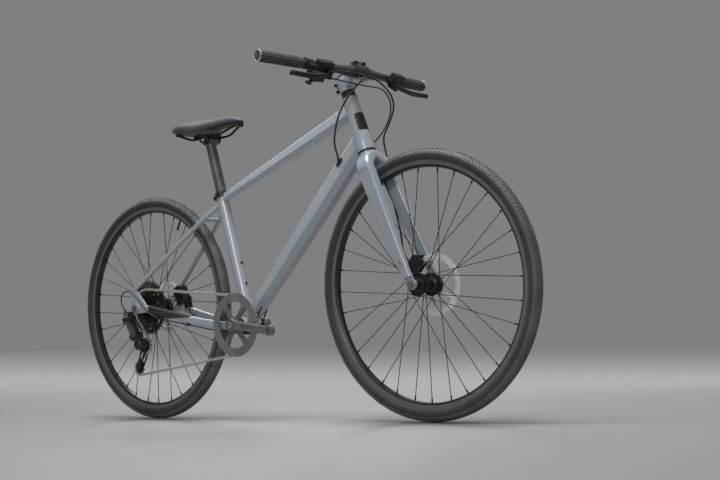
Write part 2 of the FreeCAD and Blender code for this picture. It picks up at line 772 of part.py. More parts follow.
keep("rear_axle", axle(rear_axle, rear_inner, (dropout_thickness + hanger_thickness, dropout_thickness),
                       ((-rear_inner, freehub_end - free_gap), (rear_inner - hub_end_inset + free_gap,
                               rear_inner))))


# Fork

crown_low = axle_to_crown - crown_height - 20.0
blade_forward_top = 14.0
blade_end_up = 20.0
blade_end_y = front_inner + blade_end_width / 2 + 0.3
corner_radius = 6.0


def fork_section(up, forward, y, tilt, width, depth, corner):
    """Rounded section of the crown or a blade; tilt leans its plane from level, in degrees."""
    lean = math.radians(tilt)
    across = lateral * math.cos(lean) + head_up * math.sin(lean)
    return outline(on_head(up, forward, y), across, head_forward, rectangle(width / 2, depth / 2), corner)


def fork_crown():
    """Arch over the tyre with sloping shoulders, carrying the steerer tube."""
    half = (
        (crown_low, blade_forward_top, blade_track_top, 0.0, blade_top_width, blade_top_depth),
        (crown_low + 17.0, blade_forward_top - 2.0, blade_track_top - 2.0, 14.0, blade_top_width + 1.0,
         blade_top_depth + 1.0),
        (crown_low + 33.0, blade_forward_top - 6.0, 0.67 * blade_track_top, 50.0, blade_top_width + 1.0,
         blade_top_depth + 3.0))
    sections = [fork_section(u, n, y, t, w, d, 9.0) for u, n, y, t, w, d in half]
    sections.append(fork_section(crown_low + 47.0, 4.0, 0.0, 90.0, 26.0, blade_top_depth + 6.0, 9.0))
    for u, n, y, t, w, d in reversed(half):
        sections.append(fork_section(u, n, -y, 180.0 - t, w, d, 9.0))
    arch = Part.makeLoft(sections, True, False)
    boss = rod(on_head(crown_low + 40.0), on_head(axle_to_crown), head_tube_low_radius - 1.0)
    steerer = rod(on_head(axle_to_crown - 1.0), on_head(steerer_top), steerer_radius)
    bore = rod(on_head(axle_to_crown + 20.0), on_head(steerer_top + 1.0), steerer_radius - steerer_wall)
    return arch.fuse(boss).fuse(steerer).cut(bore)


stem_low = head_top + cup_flange + free_gap + spacer_height
stem_top = stem_low + seat_gap + stem_clamp_height
steerer_top = stem_top - 3.0
blade_stations = (
    (crown_low, blade_forward_top, blade_track_top, blade_top_width, blade_top_depth),
    (0.5 * crown_low + 12.0, 28.0, 50.5, 24.0, 37.0),
    (blade_end_up, fork_rake - 4.0, blade_end_y, blade_end_width, blade_end_depth))
eyelet_radius = 2.5
eyelet_depth = 11.0
eyelet_up = 66.0
eyelet_forward = 41.0


def fork_blade():
    """Left leg: hollow tapered blade, axle end and a tapped eyelet on its outside."""
    outer = [fork_section(u, n, y, 0.0, w, d, corner_radius) for u, n, y, w, d in blade_stations]
    wall = tube_wall
    middle = blade_stations[1]
    inner = [fork_section(u, n, y, 0.0, w - 2 * wall, d - 2 * wall, corner_radius - wall) for u, n, y, w,
             d in blade_stations[:1]]
    low = (0.5 * (middle[0] + blade_end_up), 0.5 * (middle[1] + fork_rake),
           0.5 * (middle[2] + blade_end_y), 17.0, 28.0)
    for u, n, y, w, d in (middle, low):
        inner.append(fork_section(u, n, y, 0.0, w - 2 * wall, d - 2 * wall, corner_radius - wall))
    blade = Part.makeLoft(outer, True, False).cut(Part.makeLoft(inner, True, False))
    inside = front_axle + lateral * front_inner
    end = rod(inside, inside + lateral * fork_end_thickness, 13.5)
    cheek = outline(on_head(blade_end_up + 12.0, fork_rake - 5.0, front_inner), head_forward, head_up,
                    [(12.0, 0.0), (-12.0, 0.0), (-9.0, -26.0), (14.0, -26.0)], 3.0)
    end = end.fuse(plate(cheek, lateral * fork_end_thickness))
    leg = blade.fuse(end)
    leg = leg.cut(rod(inside - lateral, inside + lateral * (fork_end_thickness + 20.0),
                      axle_radius + seat_gap))
    recess = rod(inside + lateral * fork_end_thickness, inside + lateral * 40.0, axle_nut_radius + 3.0)
    leg = leg.cut(recess)
    eyelet = on_head(eyelet_up, eyelet_forward, blade_end_y)
    boss = rod(eyelet, eyelet + lateral * 9.5, 5.5)
    leg = leg.fuse(boss)
    return leg.cut(rod(eyelet + lateral * (9.5 - eyelet_depth), eyelet + lateral * 12.0, eyelet_radius))


# Cockpit

bar_centre = on_head(0.5 * (stem_low + stem_top) + stem_rise, stem_reach)
bar_out = V(-math.tan(math.radians(bar_sweep)), 1, math.tan(math.radians(bar_rise))).normalize()
level_forward = bar_out.cross(V(0, 0, 1)).normalize()
level_up = level_forward.cross(bar_out)
hand_forward = level_forward * math.cos(math.radians(lever_tilt)) - level_up * math.sin(math.radians(lever_tilt))
hand_up = hand_forward.cross(bar_out)


def on_bar(out, forward=0.0, up=0.0):
    """Point of the left half of the bar, by distance out from the centre plane, then forward and up."""
    along = (out - bar_straight) / bar_out.y
    return bar_centre + lateral * bar_straight + bar_out * along + hand_forward * forward + hand_up * up


def ring_wire(centre, along, radius):
    """Circle about a point, square to a direction."""
    return Part.Wire(Part.makeCircle(radius, centre, along))


def handlebar():
    """Flat bar: thick at the stem, tapering and sweeping back to the grips."""
    middle = rod(bar_centre - lateral * bar_straight, bar_centre + lateral * bar_straight, bar_clamp_radius)
    step = (bar_clamp_radius - bar_radius) / 3
    turn = (lateral + bar_out).normalize()
    taper = Part.makeLoft([
        ring_wire(bar_centre + lateral * bar_straight, lateral, bar_clamp_radius),
        ring_wire(on_bar(bar_straight + 14.0), turn, bar_clamp_radius - step),
        ring_wire(on_bar(bar_straight + 34.0), bar_out, bar_radius + 0.7 * step),
        ring_wire(on_bar(bar_straight + 58.0), bar_out, bar_radius)], True, False)
    straight = rod(on_bar(bar_straight + 58.0), on_bar(bar_half_width), bar_radius)
    bore = rod(on_bar(bar_straight + 62.0), on_bar(bar_half_width + 2.0), bar_radius - tube_wall)
    arm = taper.fuse(straight).cut(bore)
    return middle.fuse(arm).fuse(mirrored(arm))


def grip():
    """Rubber sleeve with a raised inner collar and a closed, ringed end."""
    end = on_bar(bar_half_width)
    start = end - bar_out * grip_length
    sleeve = rod(start, end + bar_out * grip_end_cap, grip_radius)
    collar = rod(start, start + bar_out * 5.0, grip_radius + 1.2)
    rim_ring = rod(end - bar_out * 2.0, end + bar_out * grip_end_cap, grip_radius + 0.8)
    return sleeve.fuse(collar).fuse(rim_ring).cut(rod(start - bar_out, end + bar_out * fit_gap,
                                                      bar_radius + fit_gap))


def stem():
    """Stem body: a collar on the steerer and half a collar for the bar, and the faceplate that closes it."""
    low = on_head(stem_low + seat_gap)
    top = on_head(stem_top)
    collar = rod(low, top, steerer_radius + 5.2)
    half_clamp = 23.0
    bar_collar = rod(bar_centre - lateral * half_clamp, bar_centre + lateral * half_clamp,
                     bar_clamp_radius + 5.5)
    middle_up = 0.5 * (stem_low + stem_top)
    root = outline(on_head(middle_up, 4.0), lateral, head_up, rectangle(16.0, 18.0), 5.0)
    tip = outline(on_head(middle_up + stem_rise, stem_reach - 8.0), lateral, head_up, rectangle(20.0,
            17.0), 5.0)
    beam = Part.makeLoft([root, tip], True, True)
    ears = block(bar_centre, head_forward, lateral, head_up, (2 * ear_half, 2 * half_clamp,
                                                              2 * bar_clamp_radius + 17.0))
    rear_ear = block(on_head(middle_up, -steerer_radius - 7.0), head_forward, lateral, head_up, (9.0, 22.0,
            34.0))
    body = collar.multiFuse([bar_collar, beam, ears, rear_ear])
    body = body.cut(rod(on_head(stem_low - 5.0), on_head(stem_top + 5.0), steerer_radius + seat_gap))
    body = body.cut(rod(bar_centre - lateral * 40.0, bar_centre + lateral * 40.0,
                        bar_clamp_radius + seat_gap))
    body = body.cut(block(on_head(middle_up, -steerer_radius - 8.0), head_forward, lateral, head_up, (22.0,
            2.0, 60.0)))
    split = 1.0
    front_space = block(bar_centre + head_forward * (30.0 + split), head_forward, lateral, head_up, (60.0,
            80.0, 80.0))
    rear_space = block(bar_centre - head_forward * (60.0 - split + 0.6), head_forward, lateral, head_up,
                       (120.0, 80.0, 90.0))
    faceplate = body.common(front_space)
    rear = body.common(rear_space)
    faceplate = max(faceplate.Solids, key=lambda solid: solid.Volume)
    rear = max(rear.Solids, key=lambda solid: solid.Volume)
    holes = [rod(seat - out * 26.0, seat + out * 1.0, stem_bolt_radius + seat_gap) for seat, out,
             _ in stem_bolt_seats]
    drilled = Part.makeCompound(holes)
    return [rear.cut(drilled), faceplate.cut(drilled)]


stem_bolt_radius = 2.5
ear_half = 13.6
stem_bolt_seats = []
for side in (-1, 1):
    for level in (-1, 1):
        stem_bolt_seats.append((bar_centre + head_forward * ear_half + lateral * (side * 16.0)
                                + head_up * (level * (bar_clamp_radius + 5.2)), head_forward, 22.0))
for level in (-1, 1):
    stem_bolt_seats.append((on_head(0.5 * (stem_low + stem_top) + level * 10.0, -steerer_radius - 8.5,
                                    -11.0), lateral * -1, 20.0))


def cockpit_bolts():
    """Socket screws of the stem's faceplate and steerer collar, and of the top cap."""
    made = []
    for seat, out, length in stem_bolt_seats:
        head = rod(seat + out * 0.1, seat + out * 4.0, 4.2).cut(rod(seat + out * 2.0, seat + out * 5.0,
                2.0))
        made.append(rod(seat - out * length, seat + out, stem_bolt_radius).fuse(head))
    top = on_head(cap_top)
    screw = rod(on_head(cap_top - 20.0), top + head_up * 0.5, 3.0)
    head = rod(top + head_up * 0.1, top + head_up * 3.0, 5.0).cut(rod(top + head_up * 1.2,
            top + head_up * 5.0, 2.5))
    made.append(screw.fuse(head))
    return made


cap_top = stem_top + seat_gap + 5.0


def headset_spacers():
    """Spacer rings below the stem and the cap that closes the steerer."""
    low = head_top + cup_flange + free_gap
    half = spacer_height / 2
    bore = steerer_radius + seat_gap
    rings = [pipe(on_head(low + i * half + i * fit_gap), on_head(low + (i + 1) * half),
                  steerer_radius + 4.2, bore) for i in range(2)]
    cap = rod(on_head(stem_top + seat_gap), on_head(cap_top), steerer_radius + 3.5)
    plug = rod(on_head(stem_top - 10.0), on_head(cap_top - 1.0), steerer_radius - steerer_wall - seat_gap)
    cap = cap.fuse(plug).cut(rod(on_head(cap_top - 30.0), on_head(cap_top + 1.0), 3.0 + fit_gap))
    return rings + [cap]


# Brake and shift controls

lever_pivot = (128.0, 43.0, -2.0)
lever_pin_radius = 3.0
reservoir_height = 24.0
control_clamp = (172.0, 186.0)
hose_port = (100.0, 24.0, 3.0)


def brake_body():
    """Left master cylinder: clamp, cylinder, reservoir box, hose fitting and the lever's fork and pin."""
    near, far = control_clamp
    clamp = rod(on_bar(near), on_bar(far), bar_radius + 4.2)
    link = block(on_bar(0.5 * (near + far), 17.0, 2.0), bar_out, hand_forward, hand_up, (far - near, 16.0,
            14.0))
    cylinder = rod(on_bar(hose_port[0] + 12.0, 24.0, 3.0), on_bar(far, 24.0, 3.0), 9.5)
    box = outline(on_bar(141.0, 24.8, 0.0), bar_out, hand_forward, rectangle(25.5, 10.7), 4.0)
    reservoir = plate(box, hand_up * reservoir_height)
    lid = outline(on_bar(141.0, 24.8, reservoir_height), bar_out, hand_forward, rectangle(24.0, 9.5), 3.5)
    lid = plate(lid, hand_up * 2.2)
    fitting = rod(on_bar(hose_port[0], 24.0, 3.0), on_bar(hose_port[0] + 13.0, 24.0, 3.0), 4.2)
    s, f, u = lever_pivot
    ears = []
    for level in (-1, 1):
        middle = on_bar(s, f - 7.0, u + level * 9.3)
        ears.append(block(middle, bar_out, hand_forward, hand_up, (15.0, 26.0, 4.0)))
        ears.append(rod(on_bar(s, f, u + level * 7.3), on_bar(s, f, u + level * 11.3), 8.0))
    bridge = block(on_bar(s, f - 17.0, u), bar_out, hand_forward, hand_up, (15.0, 10.0, 22.6))
    pin = rod(on_bar(s, f, u - 9.0), on_bar(s, f, u + 9.0), lever_pin_radius)
    body = clamp.multiFuse([link, cylinder, reservoir, lid, fitting, bridge, pin] + ears)
    return body.cut(rod(on_bar(near - 70.0), on_bar(far + 5.0), bar_radius + seat_gap))


def brake_lever():
    """Left lever blade: an eye on the pin, a blade bowed forward of the fingers and a hooked tip."""
    s, f, u = lever_pivot
    route = (
        (0.0, 0.0, 0.0, 5.0, 6.0), (22.0, 9.0, -1.0, 4.5, 6.0), (52.0, 14.0, -3.5, 4.0, 6.5), (88.0, 15.0,
                -5.0, 3.6, 6.8),
        (117.0, 18.0, -3.0, 3.6, 6.5), (134.0, 25.0, 0.0, 3.8, 5.5))
    wires = []
    for out, ahead, rise, half_depth, half_height in route:
        wires.append(outline(on_bar(s + out, f + ahead, u + rise), hand_forward, hand_up,
                             rectangle(half_depth, half_height), 2.6))
    blade = Part.makeLoft(wires, True, False)
    eye = rod(on_bar(s, f, u - 7.0), on_bar(s, f, u + 7.0), 7.5)
    tip = rod(on_bar(s + 134.0, f + 25.0, u - 5.5), on_bar(s + 134.0, f + 25.0, u + 5.5), 4.6)
    hole = rod(on_bar(s, f, u - 12.0), on_bar(s, f, u + 12.0), lever_pin_radius + fit_gap)
    return blade.fuse(eye).fuse(tip).cut(hole)


shifter_centre = (140.0, 6.0, -27.0)
shifter_size = (44.0, 40.0, 17.0)
shifter_pivot = (142.0, 2.0)
shifter_under = shifter_centre[2] - shifter_size[2] / 2
shift_lever_thickness = 3.6


def shifter_body():
    """Shift pod below the bar with its clamp, cable exit and lever pin, as for the left hand."""
    s, f, u = shifter_centre
    box = outline(on_bar(s, f, u - shifter_size[2] / 2), bar_out, hand_forward,
                  [(22.0, -18.0), (22.0, 10.0), (8.0, 20.0), (-22.0, 16.0), (-22.0, -20.0)], 6.0)
    pod = plate(box, hand_up * shifter_size[2])
    clamp = rod(on_bar(157.0), on_bar(167.0), bar_radius + 2.4)
    neck = block(on_bar(160.0, 0.0, -15.0), bar_out, hand_forward, hand_up, (6.0, 12.0, 12.0))
    exit_boss = rod(on_bar(s - 20.0, f, u), on_bar(s - 32.0, f, u), 4.5)
    px, pf = shifter_pivot
    pin = rod(on_bar(px, pf, shifter_under + 1.0), on_bar(px, pf,
                                                          shifter_under - 2 * (shift_lever_thickness + free_gap) - 0.5), lever_pin_radius)
    cap = rod(on_bar(px, pf, shifter_under - 2 * (shift_lever_thickness + free_gap) - 0.5),
              on_bar(px, pf, shifter_under - 2 * (shift_lever_thickness + free_gap) - 2.5), 5.5)
    body = pod.multiFuse([clamp, neck, exit_boss, pin, cap])
    return body.cut(rod(on_bar(150.0), on_bar(175.0), bar_radius + seat_gap))


def shift_lever(layer, reach_out, reach_forward, paddle):
    """Shift lever: an eye on the pod's pin, an arm and a thumb or finger paddle, as for the left hand."""
    top = shifter_under - free_gap - layer * (shift_lever_thickness + free_gap)
    px, pf = shifter_pivot
    eye = rod(on_bar(px, pf, top), on_bar(px, pf, top - shift_lever_thickness), 7.5)
    along = bar_out * reach_out + hand_forward * reach_forward
    length = along.Length
    along = V(along).normalize()
    side = hand_up.cross(along)
    middle = on_bar(px, pf, top - shift_lever_thickness / 2) + along * (length / 2)
    arm = block(middle, along, side, hand_up, (length, 9.0, shift_lever_thickness))
    pad_wire = outline(on_bar(px, pf, top - shift_lever_thickness) + along * length, along, side,
                       [(paddle, 7.0), (-8.0, 9.0), (-8.0, -9.0), (paddle, -7.0)], 4.0)
    pad = plate(pad_wire, hand_up * shift_lever_thickness)
    hole = rod(on_bar(px, pf, top + 2.0), on_bar(px, pf, top - 8.0), lever_pin_radius + fit_gap)
    return eye.fuse(arm).fuse(pad).cut(hole)


keep("fork_steerer", fork_crown())
left_blade = fork_blade()
keep("fork_blades", left_blade, mirrored(left_blade))
keep("handlebar", handlebar())
keep("grips", grip(), mirrored(grip()))
keep("stem", *stem())
keep("cockpit_bolts", *cockpit_bolts())
keep("headset_spacers", *headset_spacers())
keep("brake_bodies", brake_body(), mirrored(brake_body()))
keep("brake_lever_left", brake_lever())
keep("brake_lever_right", mirrored(brake_lever()))
keep("shifter_body", mirrored(shifter_body()))
keep("shift_lever_main", mirrored(shift_lever(0, 30.0, -16.0, 12.0)))
keep("shift_lever_release", mirrored(shift_lever(1, 26.0, 22.0, 9.0)))


# Chain line

chain_y = cassette_inner_y - cassette_pitch * chain_on
ring_y = -chainline_front
guide_centre = rear_axle + V(-cage_pivot_back, 0, -cage_pivot_drop)


def pitch_radius(teeth):
    """Radius on which the chain's pins lie on a toothed wheel."""
    return link_pitch / (2 * math.sin(math.pi / teeth))


def tension_centre(lean):
    """Axis of the lower pulley for a lean of the cage from upright, in degrees."""
    angle = math.radians(lean)
    return guide_centre + V(-math.sin(angle), 0, -math.cos(angle)) * cage_length


def chain_runs(lean):
    """The chain as (start, length in links, place) runs, from the chainring's top back round the drive.

    Each wheel is (centre, teeth, sense); a straight run leaves one wheel where it is tangent to it
    and to the next. A place takes a share of its run and gives a point at the chain's pins, with Y = 0.
    """
    wheels = ((bb, chainring_teeth, 1), (rear_axle, cassette_teeth[chain_on], 1), (guide_centre,
            pulley_teeth, -1),
              (tension_centre(lean), pulley_teeth, 1))
    count = len(wheels)
    headings = []
    for i in range(count):
        centre, teeth, sense = wheels[i]
        next_centre, next_teeth, next_sense = wheels[(i + 1) % count]
        gap = next_centre - centre
        offset = sense * pitch_radius(teeth) - next_sense * pitch_radius(next_teeth)
        headings.append(math.atan2(gap.z, gap.x) + math.asin(offset / math.hypot(gap.x, gap.z)))

    def touch(wheel, heading):
        centre, teeth, sense = wheel
        reach = sense * pitch_radius(teeth)
        return V(centre.x + reach * math.sin(heading), 0, centre.z - reach * math.cos(heading))

    def straight(start, end):
        return lambda share: start + (end - start) * share

    def wrap(wheel, heading, turn):
        return lambda share: touch(wheel, heading + turn * share)

    runs = []
    total = 0.0
    for i in range(count):
        after = (i + 1) % count
        start = touch(wheels[i], headings[i])
        end = touch(wheels[after], headings[i])
        links = (end - start).Length / link_pitch
        runs.append((total, links, straight(start, end)))
        total += links
        sense = wheels[after][2]
        turn = (sense * (headings[after] - headings[i])) % (2 * math.pi)
        links = turn * wheels[after][1] / (2 * math.pi)
        runs.append((total, links, wrap(wheels[after], headings[i], sense * turn)))
        total += links
    return runs, total


def even_lean():
    """Cage lean next to the wanted one at which the chain is an even number of whole links."""
    _, wanted = chain_runs(cage_lean)
    target = 2 * round(wanted / 2)
    low = cage_lean - 25.0
    high = cage_lean + 25.0
    rising = chain_runs(high)[1] > chain_runs(low)[1]
    for _ in range(60):
        middle = 0.5 * (low + high)
        if (chain_runs(middle)[1] > target) == rising:
            high = middle
        else:
            low = middle
    return 0.5 * (low + high), target


lean, link_count = even_lean()
runs, _ = chain_runs(lean)
print("cage lean", round(lean, 2), "links", link_count)


def chain_pin(index):
    """Pin of the chain, counted from the top of the chainring; the two long runs shift sideways."""
    index = index % link_count
    for number, (start, links, place) in enumerate(runs):
        if index <= start + links + 1e-9:
            share = (index - start) / links
            break
    point = place(share)
    ease = share * share * (3 - 2 * share)
    if number == 0:
        y = ring_y + (chain_y - ring_y) * ease
    elif number == 6:
        y = chain_y + (ring_y - chain_y) * ease
    elif number == 7:
        y = ring_y
    else:
        y = chain_y
    return V(point.x, y, point.z)


def pin_angle(number, centre):
    """Angle of the first pin on a wheel's wrap, seen from the right side, in degrees."""
    spot = chain_pin(math.ceil(runs[number][0]))
    return math.degrees(math.atan2(spot.z - centre.z, spot.x - centre.x))


def sprocket(centre, teeth, y, phase, bore, thickness=tooth_thickness):
    """Toothed wheel with a tooth gap at the given angle."""
    radius = pitch_radius(teeth)
    tip = radius + tooth_height
    tip_turn = 1.2 / tip
    base = centre + lateral * (y - thickness / 2)
    half_seat = math.radians(62.0)

    def polar(r, angle):
        return base + V(r * math.cos(angle), 0, r * math.sin(angle))

    edges = []
    last = None
    first = None
    for i in range(teeth):
        angle = math.radians(phase) + i * 2 * math.pi / teeth
        gap = polar(radius, angle)
        seat = []
        for turn in (half_seat, 0.0, -half_seat):
            way = angle + math.pi + turn
            seat.append(gap + V(math.cos(way), 0, math.sin(way)) * tooth_seat_radius)
        pitch_half = math.pi / teeth
        low_tip = polar(tip, angle - pitch_half + tip_turn)
        high_tip = polar(tip, angle + pitch_half - tip_turn)
        if last is not None:
            edges.append(Part.makeLine(last, low_tip))
        else:
            first = low_tip
        edges.append(Part.makeLine(low_tip, seat[0]))
        edges.append(Part.Arc(*seat).toShape())
        edges.append(Part.makeLine(seat[2], high_tip))
        last = high_tip
    edges.append(Part.makeLine(last, first))
    disc = plate(Part.Wire(edges), lateral * thickness)
    return disc.cut(rod(base - lateral, base + lateral * (thickness + 1.0), bore))


def chain_links():
    """Rollered inner links and pinned outer links, one solid each, placed pin to pin."""
    ear = 4.1
    inner_gap = 1.2
    plate_thickness = 0.8
    half = link_pitch / 2

    def side_plate(y, waist):
        round_ends = [rod(V(x, y, 0), V(x, y + plate_thickness, 0), ear) for x in (-half, half)]
        bar = Part.makeBox(link_pitch, plate_thickness, 2 * waist, V(-half, y, -waist))
        return bar.multiFuse(round_ends)

    def both(y, waist):
        right = side_plate(y, waist)
        return [right, mirrored(right)]

    inner = both(inner_gap, 2.6)
    rollers = [rod(V(x, -inner_gap - 0.1, 0), V(x, inner_gap + 0.1, 0), roller_radius) for x in (-half,
            half)]
    inner = inner[0].multiFuse(inner[1:] + rollers)
    holes = [rod(V(x, -4.0, 0), V(x, 4.0, 0), 1.9) for x in (-half, half)]
    inner = inner.cut(Part.makeCompound(holes))
    outer_face = inner_gap + plate_thickness + 0.25
    outer = both(outer_face, 2.4)
    reach = outer_face + plate_thickness
    pins = [rod(V(x, -reach, 0), V(x, reach, 0), 1.8) for x in (-half, half)]
    outer = outer[0].multiFuse(outer[1:] + pins)
    made = []
    for i in range(link_count):
        start = chain_pin(i)
        end = chain_pin(i + 1)
        along = (end - start).normalize()
        up = along.cross(lateral).normalize()
        across = up.cross(along)
        middle = (start + end) * 0.5
        turn = FreeCAD.Matrix(along.x, across.x, up.x, middle.x, along.y, across.y, up.y, middle.y,
                              along.z, across.z, up.z, middle.z, 0, 0, 0, 1)
        link = (inner if i % 2 else outer).copy()
        link.Placement = FreeCAD.Placement(turn)
        made.append(link)
    return made


# Cranks and chainring

crank_angle = math.radians(-crank_tilt)
crank_along = V(math.cos(crank_angle), 0, math.sin(crank_angle))
crank_side = V(-math.sin(crank_angle), 0, math.cos(crank_angle))
boss_inner = crank_tread - crank_thickness - 15.0
boss_outer = boss_inner + 18.0
spider_face = chainline_front + tooth_thickness / 2 + free_gap
tab_thickness = 2.6
bolt_angles = (53.0, 127.0, 233.0, 307.0)
ring_bolt_radius = 4.0


def ring_spots():
    """Chainring bolt places in the plane of the crank axis."""
    for angle in bolt_angles:
        a = math.radians(angle)
        yield V(bb.x + ring_bolt_circle * math.cos(a), 0,
                bb.z + ring_bolt_circle * math.sin(a)), V(math.cos(a), 0, math.sin(a))


arm_stations = (
    (0.0, boss_inner + 9.0, 14.5, 8.5), (0.3, boss_inner + 12.0, 12.5, 7.5), (0.7, crank_tread - 9.0, 11.5,
            6.5),
    (1.0, crank_tread - crank_thickness / 2, 11.5, crank_thickness / 2 - 0.5))
pocket_depth = 2.2
pocket_reach = 5.0
pocket_margin = 5.5
spindle_seat = boss_inner + 12.0


def crank_arm(side, way):
    """Crank arm: boss on the spindle, a tapering arm and the pedal's tapped eye."""
    out = lateral * side
    along = crank_along * way
    tip = bb + along * crank_length
    boss = rod(bb + out * boss_inner, bb + out * boss_outer, crank_boss_radius)
    eye = rod(tip + out * (crank_tread - crank_thickness), tip + out * crank_tread, crank_tip_radius)
    wires = []
    for share, y, half_width, half_depth in arm_stations:
        wires.append(outline(bb + along * (crank_length * share) + out * y, crank_side, lateral,
                             rectangle(half_width, half_depth), 3.5))
    arm = boss.multiFuse([eye, Part.makeLoft(wires, True, False)])
    pocket = []
    for share, y, half_width, half_depth in arm_stations[1:3]:
        face = y + half_depth - pocket_depth
        pocket.append(outline(bb + along * (crank_length * share) + out * (face + pocket_reach),
                              crank_side, lateral,
                              rectangle(half_width - pocket_margin, pocket_reach), 2.0))
    arm = arm.cut(Part.makeLoft(pocket, True, True))
    arm = arm.cut(rod(tip + out * (crank_tread - 30.0), tip + out * (crank_tread + 1.0), pedal_hole_radius))
    arm = arm.cut(rod(bb + out * (boss_outer - 5.0), bb + out * (boss_outer + 1.0), 11.5))
    bolt_low = boss_outer - 5.0
    bolt = rod(bb + out * (bolt_low + fit_gap), bb + out * (bolt_low + 3.5), 10.5)
    socket = rod(bb + out * (bolt_low + 1.0), bb + out * (bolt_low + 5.0), 4.6)
    return arm, bolt.cut(socket)


def right_crank():
    """Right arm with its four-armed spider, and the spindle pressed into it."""
    arm, bolt = crank_arm(-1, 1)
    hub_start = bb_shell_width / 2 + bb_cup_width + 1.0
    hub_disc = rod(bb - lateral * hub_start, bb - lateral * (boss_inner + 1.0), 22.0)
    pieces = [hub_disc]
    for spot, away in ring_spots():
        inner = bb + away * 12.0
        outer = bb + away * (ring_bolt_circle - 9.0)
        middle = (inner + outer) * 0.5 - lateral * (spider_face + 3.0)
        turned_side = away.cross(lateral)
        pieces.append(block(middle, away, lateral, turned_side, ((outer - inner).Length, 6.0, 16.0)))
        tab_middle = bb + away * (ring_bolt_circle - 8.0) - lateral * (spider_face + tab_thickness / 2)
        pieces.append(block(tab_middle, away, lateral, turned_side, (16.0, tab_thickness, 15.0)))
        pieces.append(rod(spot - lateral * spider_face, spot - lateral * (spider_face + tab_thickness),
                          8.5))
    whole = arm.multiFuse(pieces)
    spindle = rod(bb - lateral * (spindle_seat - seat_gap), bb + lateral * (boss_outer - 5.5),
                  spindle_radius)
    whole = whole.cut(rod(bb - lateral * spindle_seat, bb, spindle_radius + fit_gap))
    holes = [rod(spot - lateral * (spider_face - 2.0), spot - lateral * (spider_face + 8.0),
                 ring_bolt_radius + seat_gap)
             for spot, _ in ring_spots()]
    return [whole.cut(Part.makeCompound(holes)), spindle, bolt]


def left_crank():
    """Left arm, bored to slide on the spindle's end."""
    arm, bolt = crank_arm(1, -1)
    hub_start = bb_shell_width / 2 + bb_cup_width + 1.0
    arm = arm.fuse(rod(bb + lateral * hub_start, bb + lateral * (boss_inner + 1.0), crank_boss_radius))
    return [arm.cut(rod(bb + lateral * 30.0, bb + lateral * (boss_outer - 5.0), spindle_radius + fit_gap)),
            bolt]


def chainring():
    """Toothed ring, the flat guard outside it and the bolts through both."""
    ring_phase = pin_angle(7, bb)
    ring = sprocket(bb, chainring_teeth, ring_y, ring_phase, ring_bolt_circle + 17.0)
    base = bb + lateral * (ring_y - tooth_thickness / 2)
    tabs = []
    for spot, away in ring_spots():
        middle = bb + away * (ring_bolt_circle + 10.0) + lateral * ring_y
        tabs.append(block(middle, away, lateral, away.cross(lateral), (22.0, tooth_thickness, 19.0)))
        foot = V(spot.x, base.y, spot.z)
        tabs.append(rod(foot, foot + lateral * tooth_thickness, 9.5))
    ring = ring.multiFuse(tabs)
    guard_face = spider_face + tab_thickness + seat_gap
    low = bb - lateral * guard_face
    guard = pipe(low, low - lateral * guard_thickness, guard_radius, ring_bolt_circle + 12.0)
    bosses = []
    for spot, away in ring_spots():
        middle = bb + away * (ring_bolt_circle + 7.0) - lateral * (guard_face + guard_thickness / 2)
        bosses.append(block(middle, away, lateral, away.cross(lateral), (15.0, guard_thickness, 17.0)))
        bosses.append(rod(spot - lateral * guard_face, spot - lateral * (guard_face + guard_thickness),
                          8.5))
    guard = guard.multiFuse(bosses)
    holes = Part.makeCompound([rod(spot - lateral * 40.0, spot - lateral * 60.0,
                                   ring_bolt_radius + seat_gap) for spot, _ in ring_spots()])
    inner_face = chainline_front - tooth_thickness / 2
    outer_face = guard_face + guard_thickness
    bolts = []
    for spot, _ in ring_spots():
        shank = rod(spot - lateral * (inner_face - 1.4), spot - lateral * (outer_face + 1.5),
                    ring_bolt_radius)
        nut = rod(spot - lateral * (inner_face - 1.4), spot - lateral * (inner_face - seat_gap), 5.5)
        head = rod(spot - lateral * (outer_face + seat_gap), spot - lateral * (outer_face + 1.8), 5.5)
        socket = rod(spot - lateral * (outer_face + 0.4), spot - lateral * (outer_face + 3.0), 2.5)
        bolts.append(shank.multiFuse([nut, head]).cut(socket))
    return [ring.cut(holes), guard.cut(holes)] + bolts


# Cassette

def cassette():
    """Freehub body, the cogs with their spacers and the lockring."""
    start = rear_flange_right - flange_thickness / 2 - 3.5 - free_gap
    body = pipe(rear_axle + lateral * start, rear_axle + lateral * freehub_end, freehub_radius,
                axle_radius + fit_gap)
    made = [body]
    bore = freehub_radius + fit_gap
    for i, teeth in enumerate(cassette_teeth):
        y = cassette_inner_y - cassette_pitch * i
        phase = pin_angle(1, rear_axle) if i == chain_on else 4.0 * i
        cog = sprocket(rear_axle, teeth, y, phase, bore)
        if teeth >= 28:
            mid = 0.5 * (freehub_radius + 5.0 + pitch_radius(teeth) - 6.0)
            size = 0.32 * (pitch_radius(teeth) - freehub_radius - 11.0)
            windows = []
            for k in range(8):
                a = math.radians(k * 45.0 + 10.0 * i)
                spot = rear_axle + V(mid * math.cos(a), y, mid * math.sin(a))
                windows.append(rod(spot - lateral * 2.0, spot + lateral * 2.0, size))
            cog = cog.cut(Part.makeCompound(windows))
        if i < len(cassette_teeth) - 1:
            face = y - tooth_thickness / 2
            reach = face - (cassette_pitch - tooth_thickness - fit_gap)
            cog = cog.fuse(pipe(rear_axle + lateral * (face + 0.1), rear_axle + lateral * reach,
                                freehub_radius + 3.0, bore))
        made.append(cog)
    face = cassette_inner_y - cassette_pitch * (len(cassette_teeth) - 1) - tooth_thickness / 2 - fit_gap
    lockring = pipe(rear_axle + lateral * face, rear_axle + lateral * freehub_end, freehub_radius + 1.2,
                    bore)
    made.append(lockring)
    return made


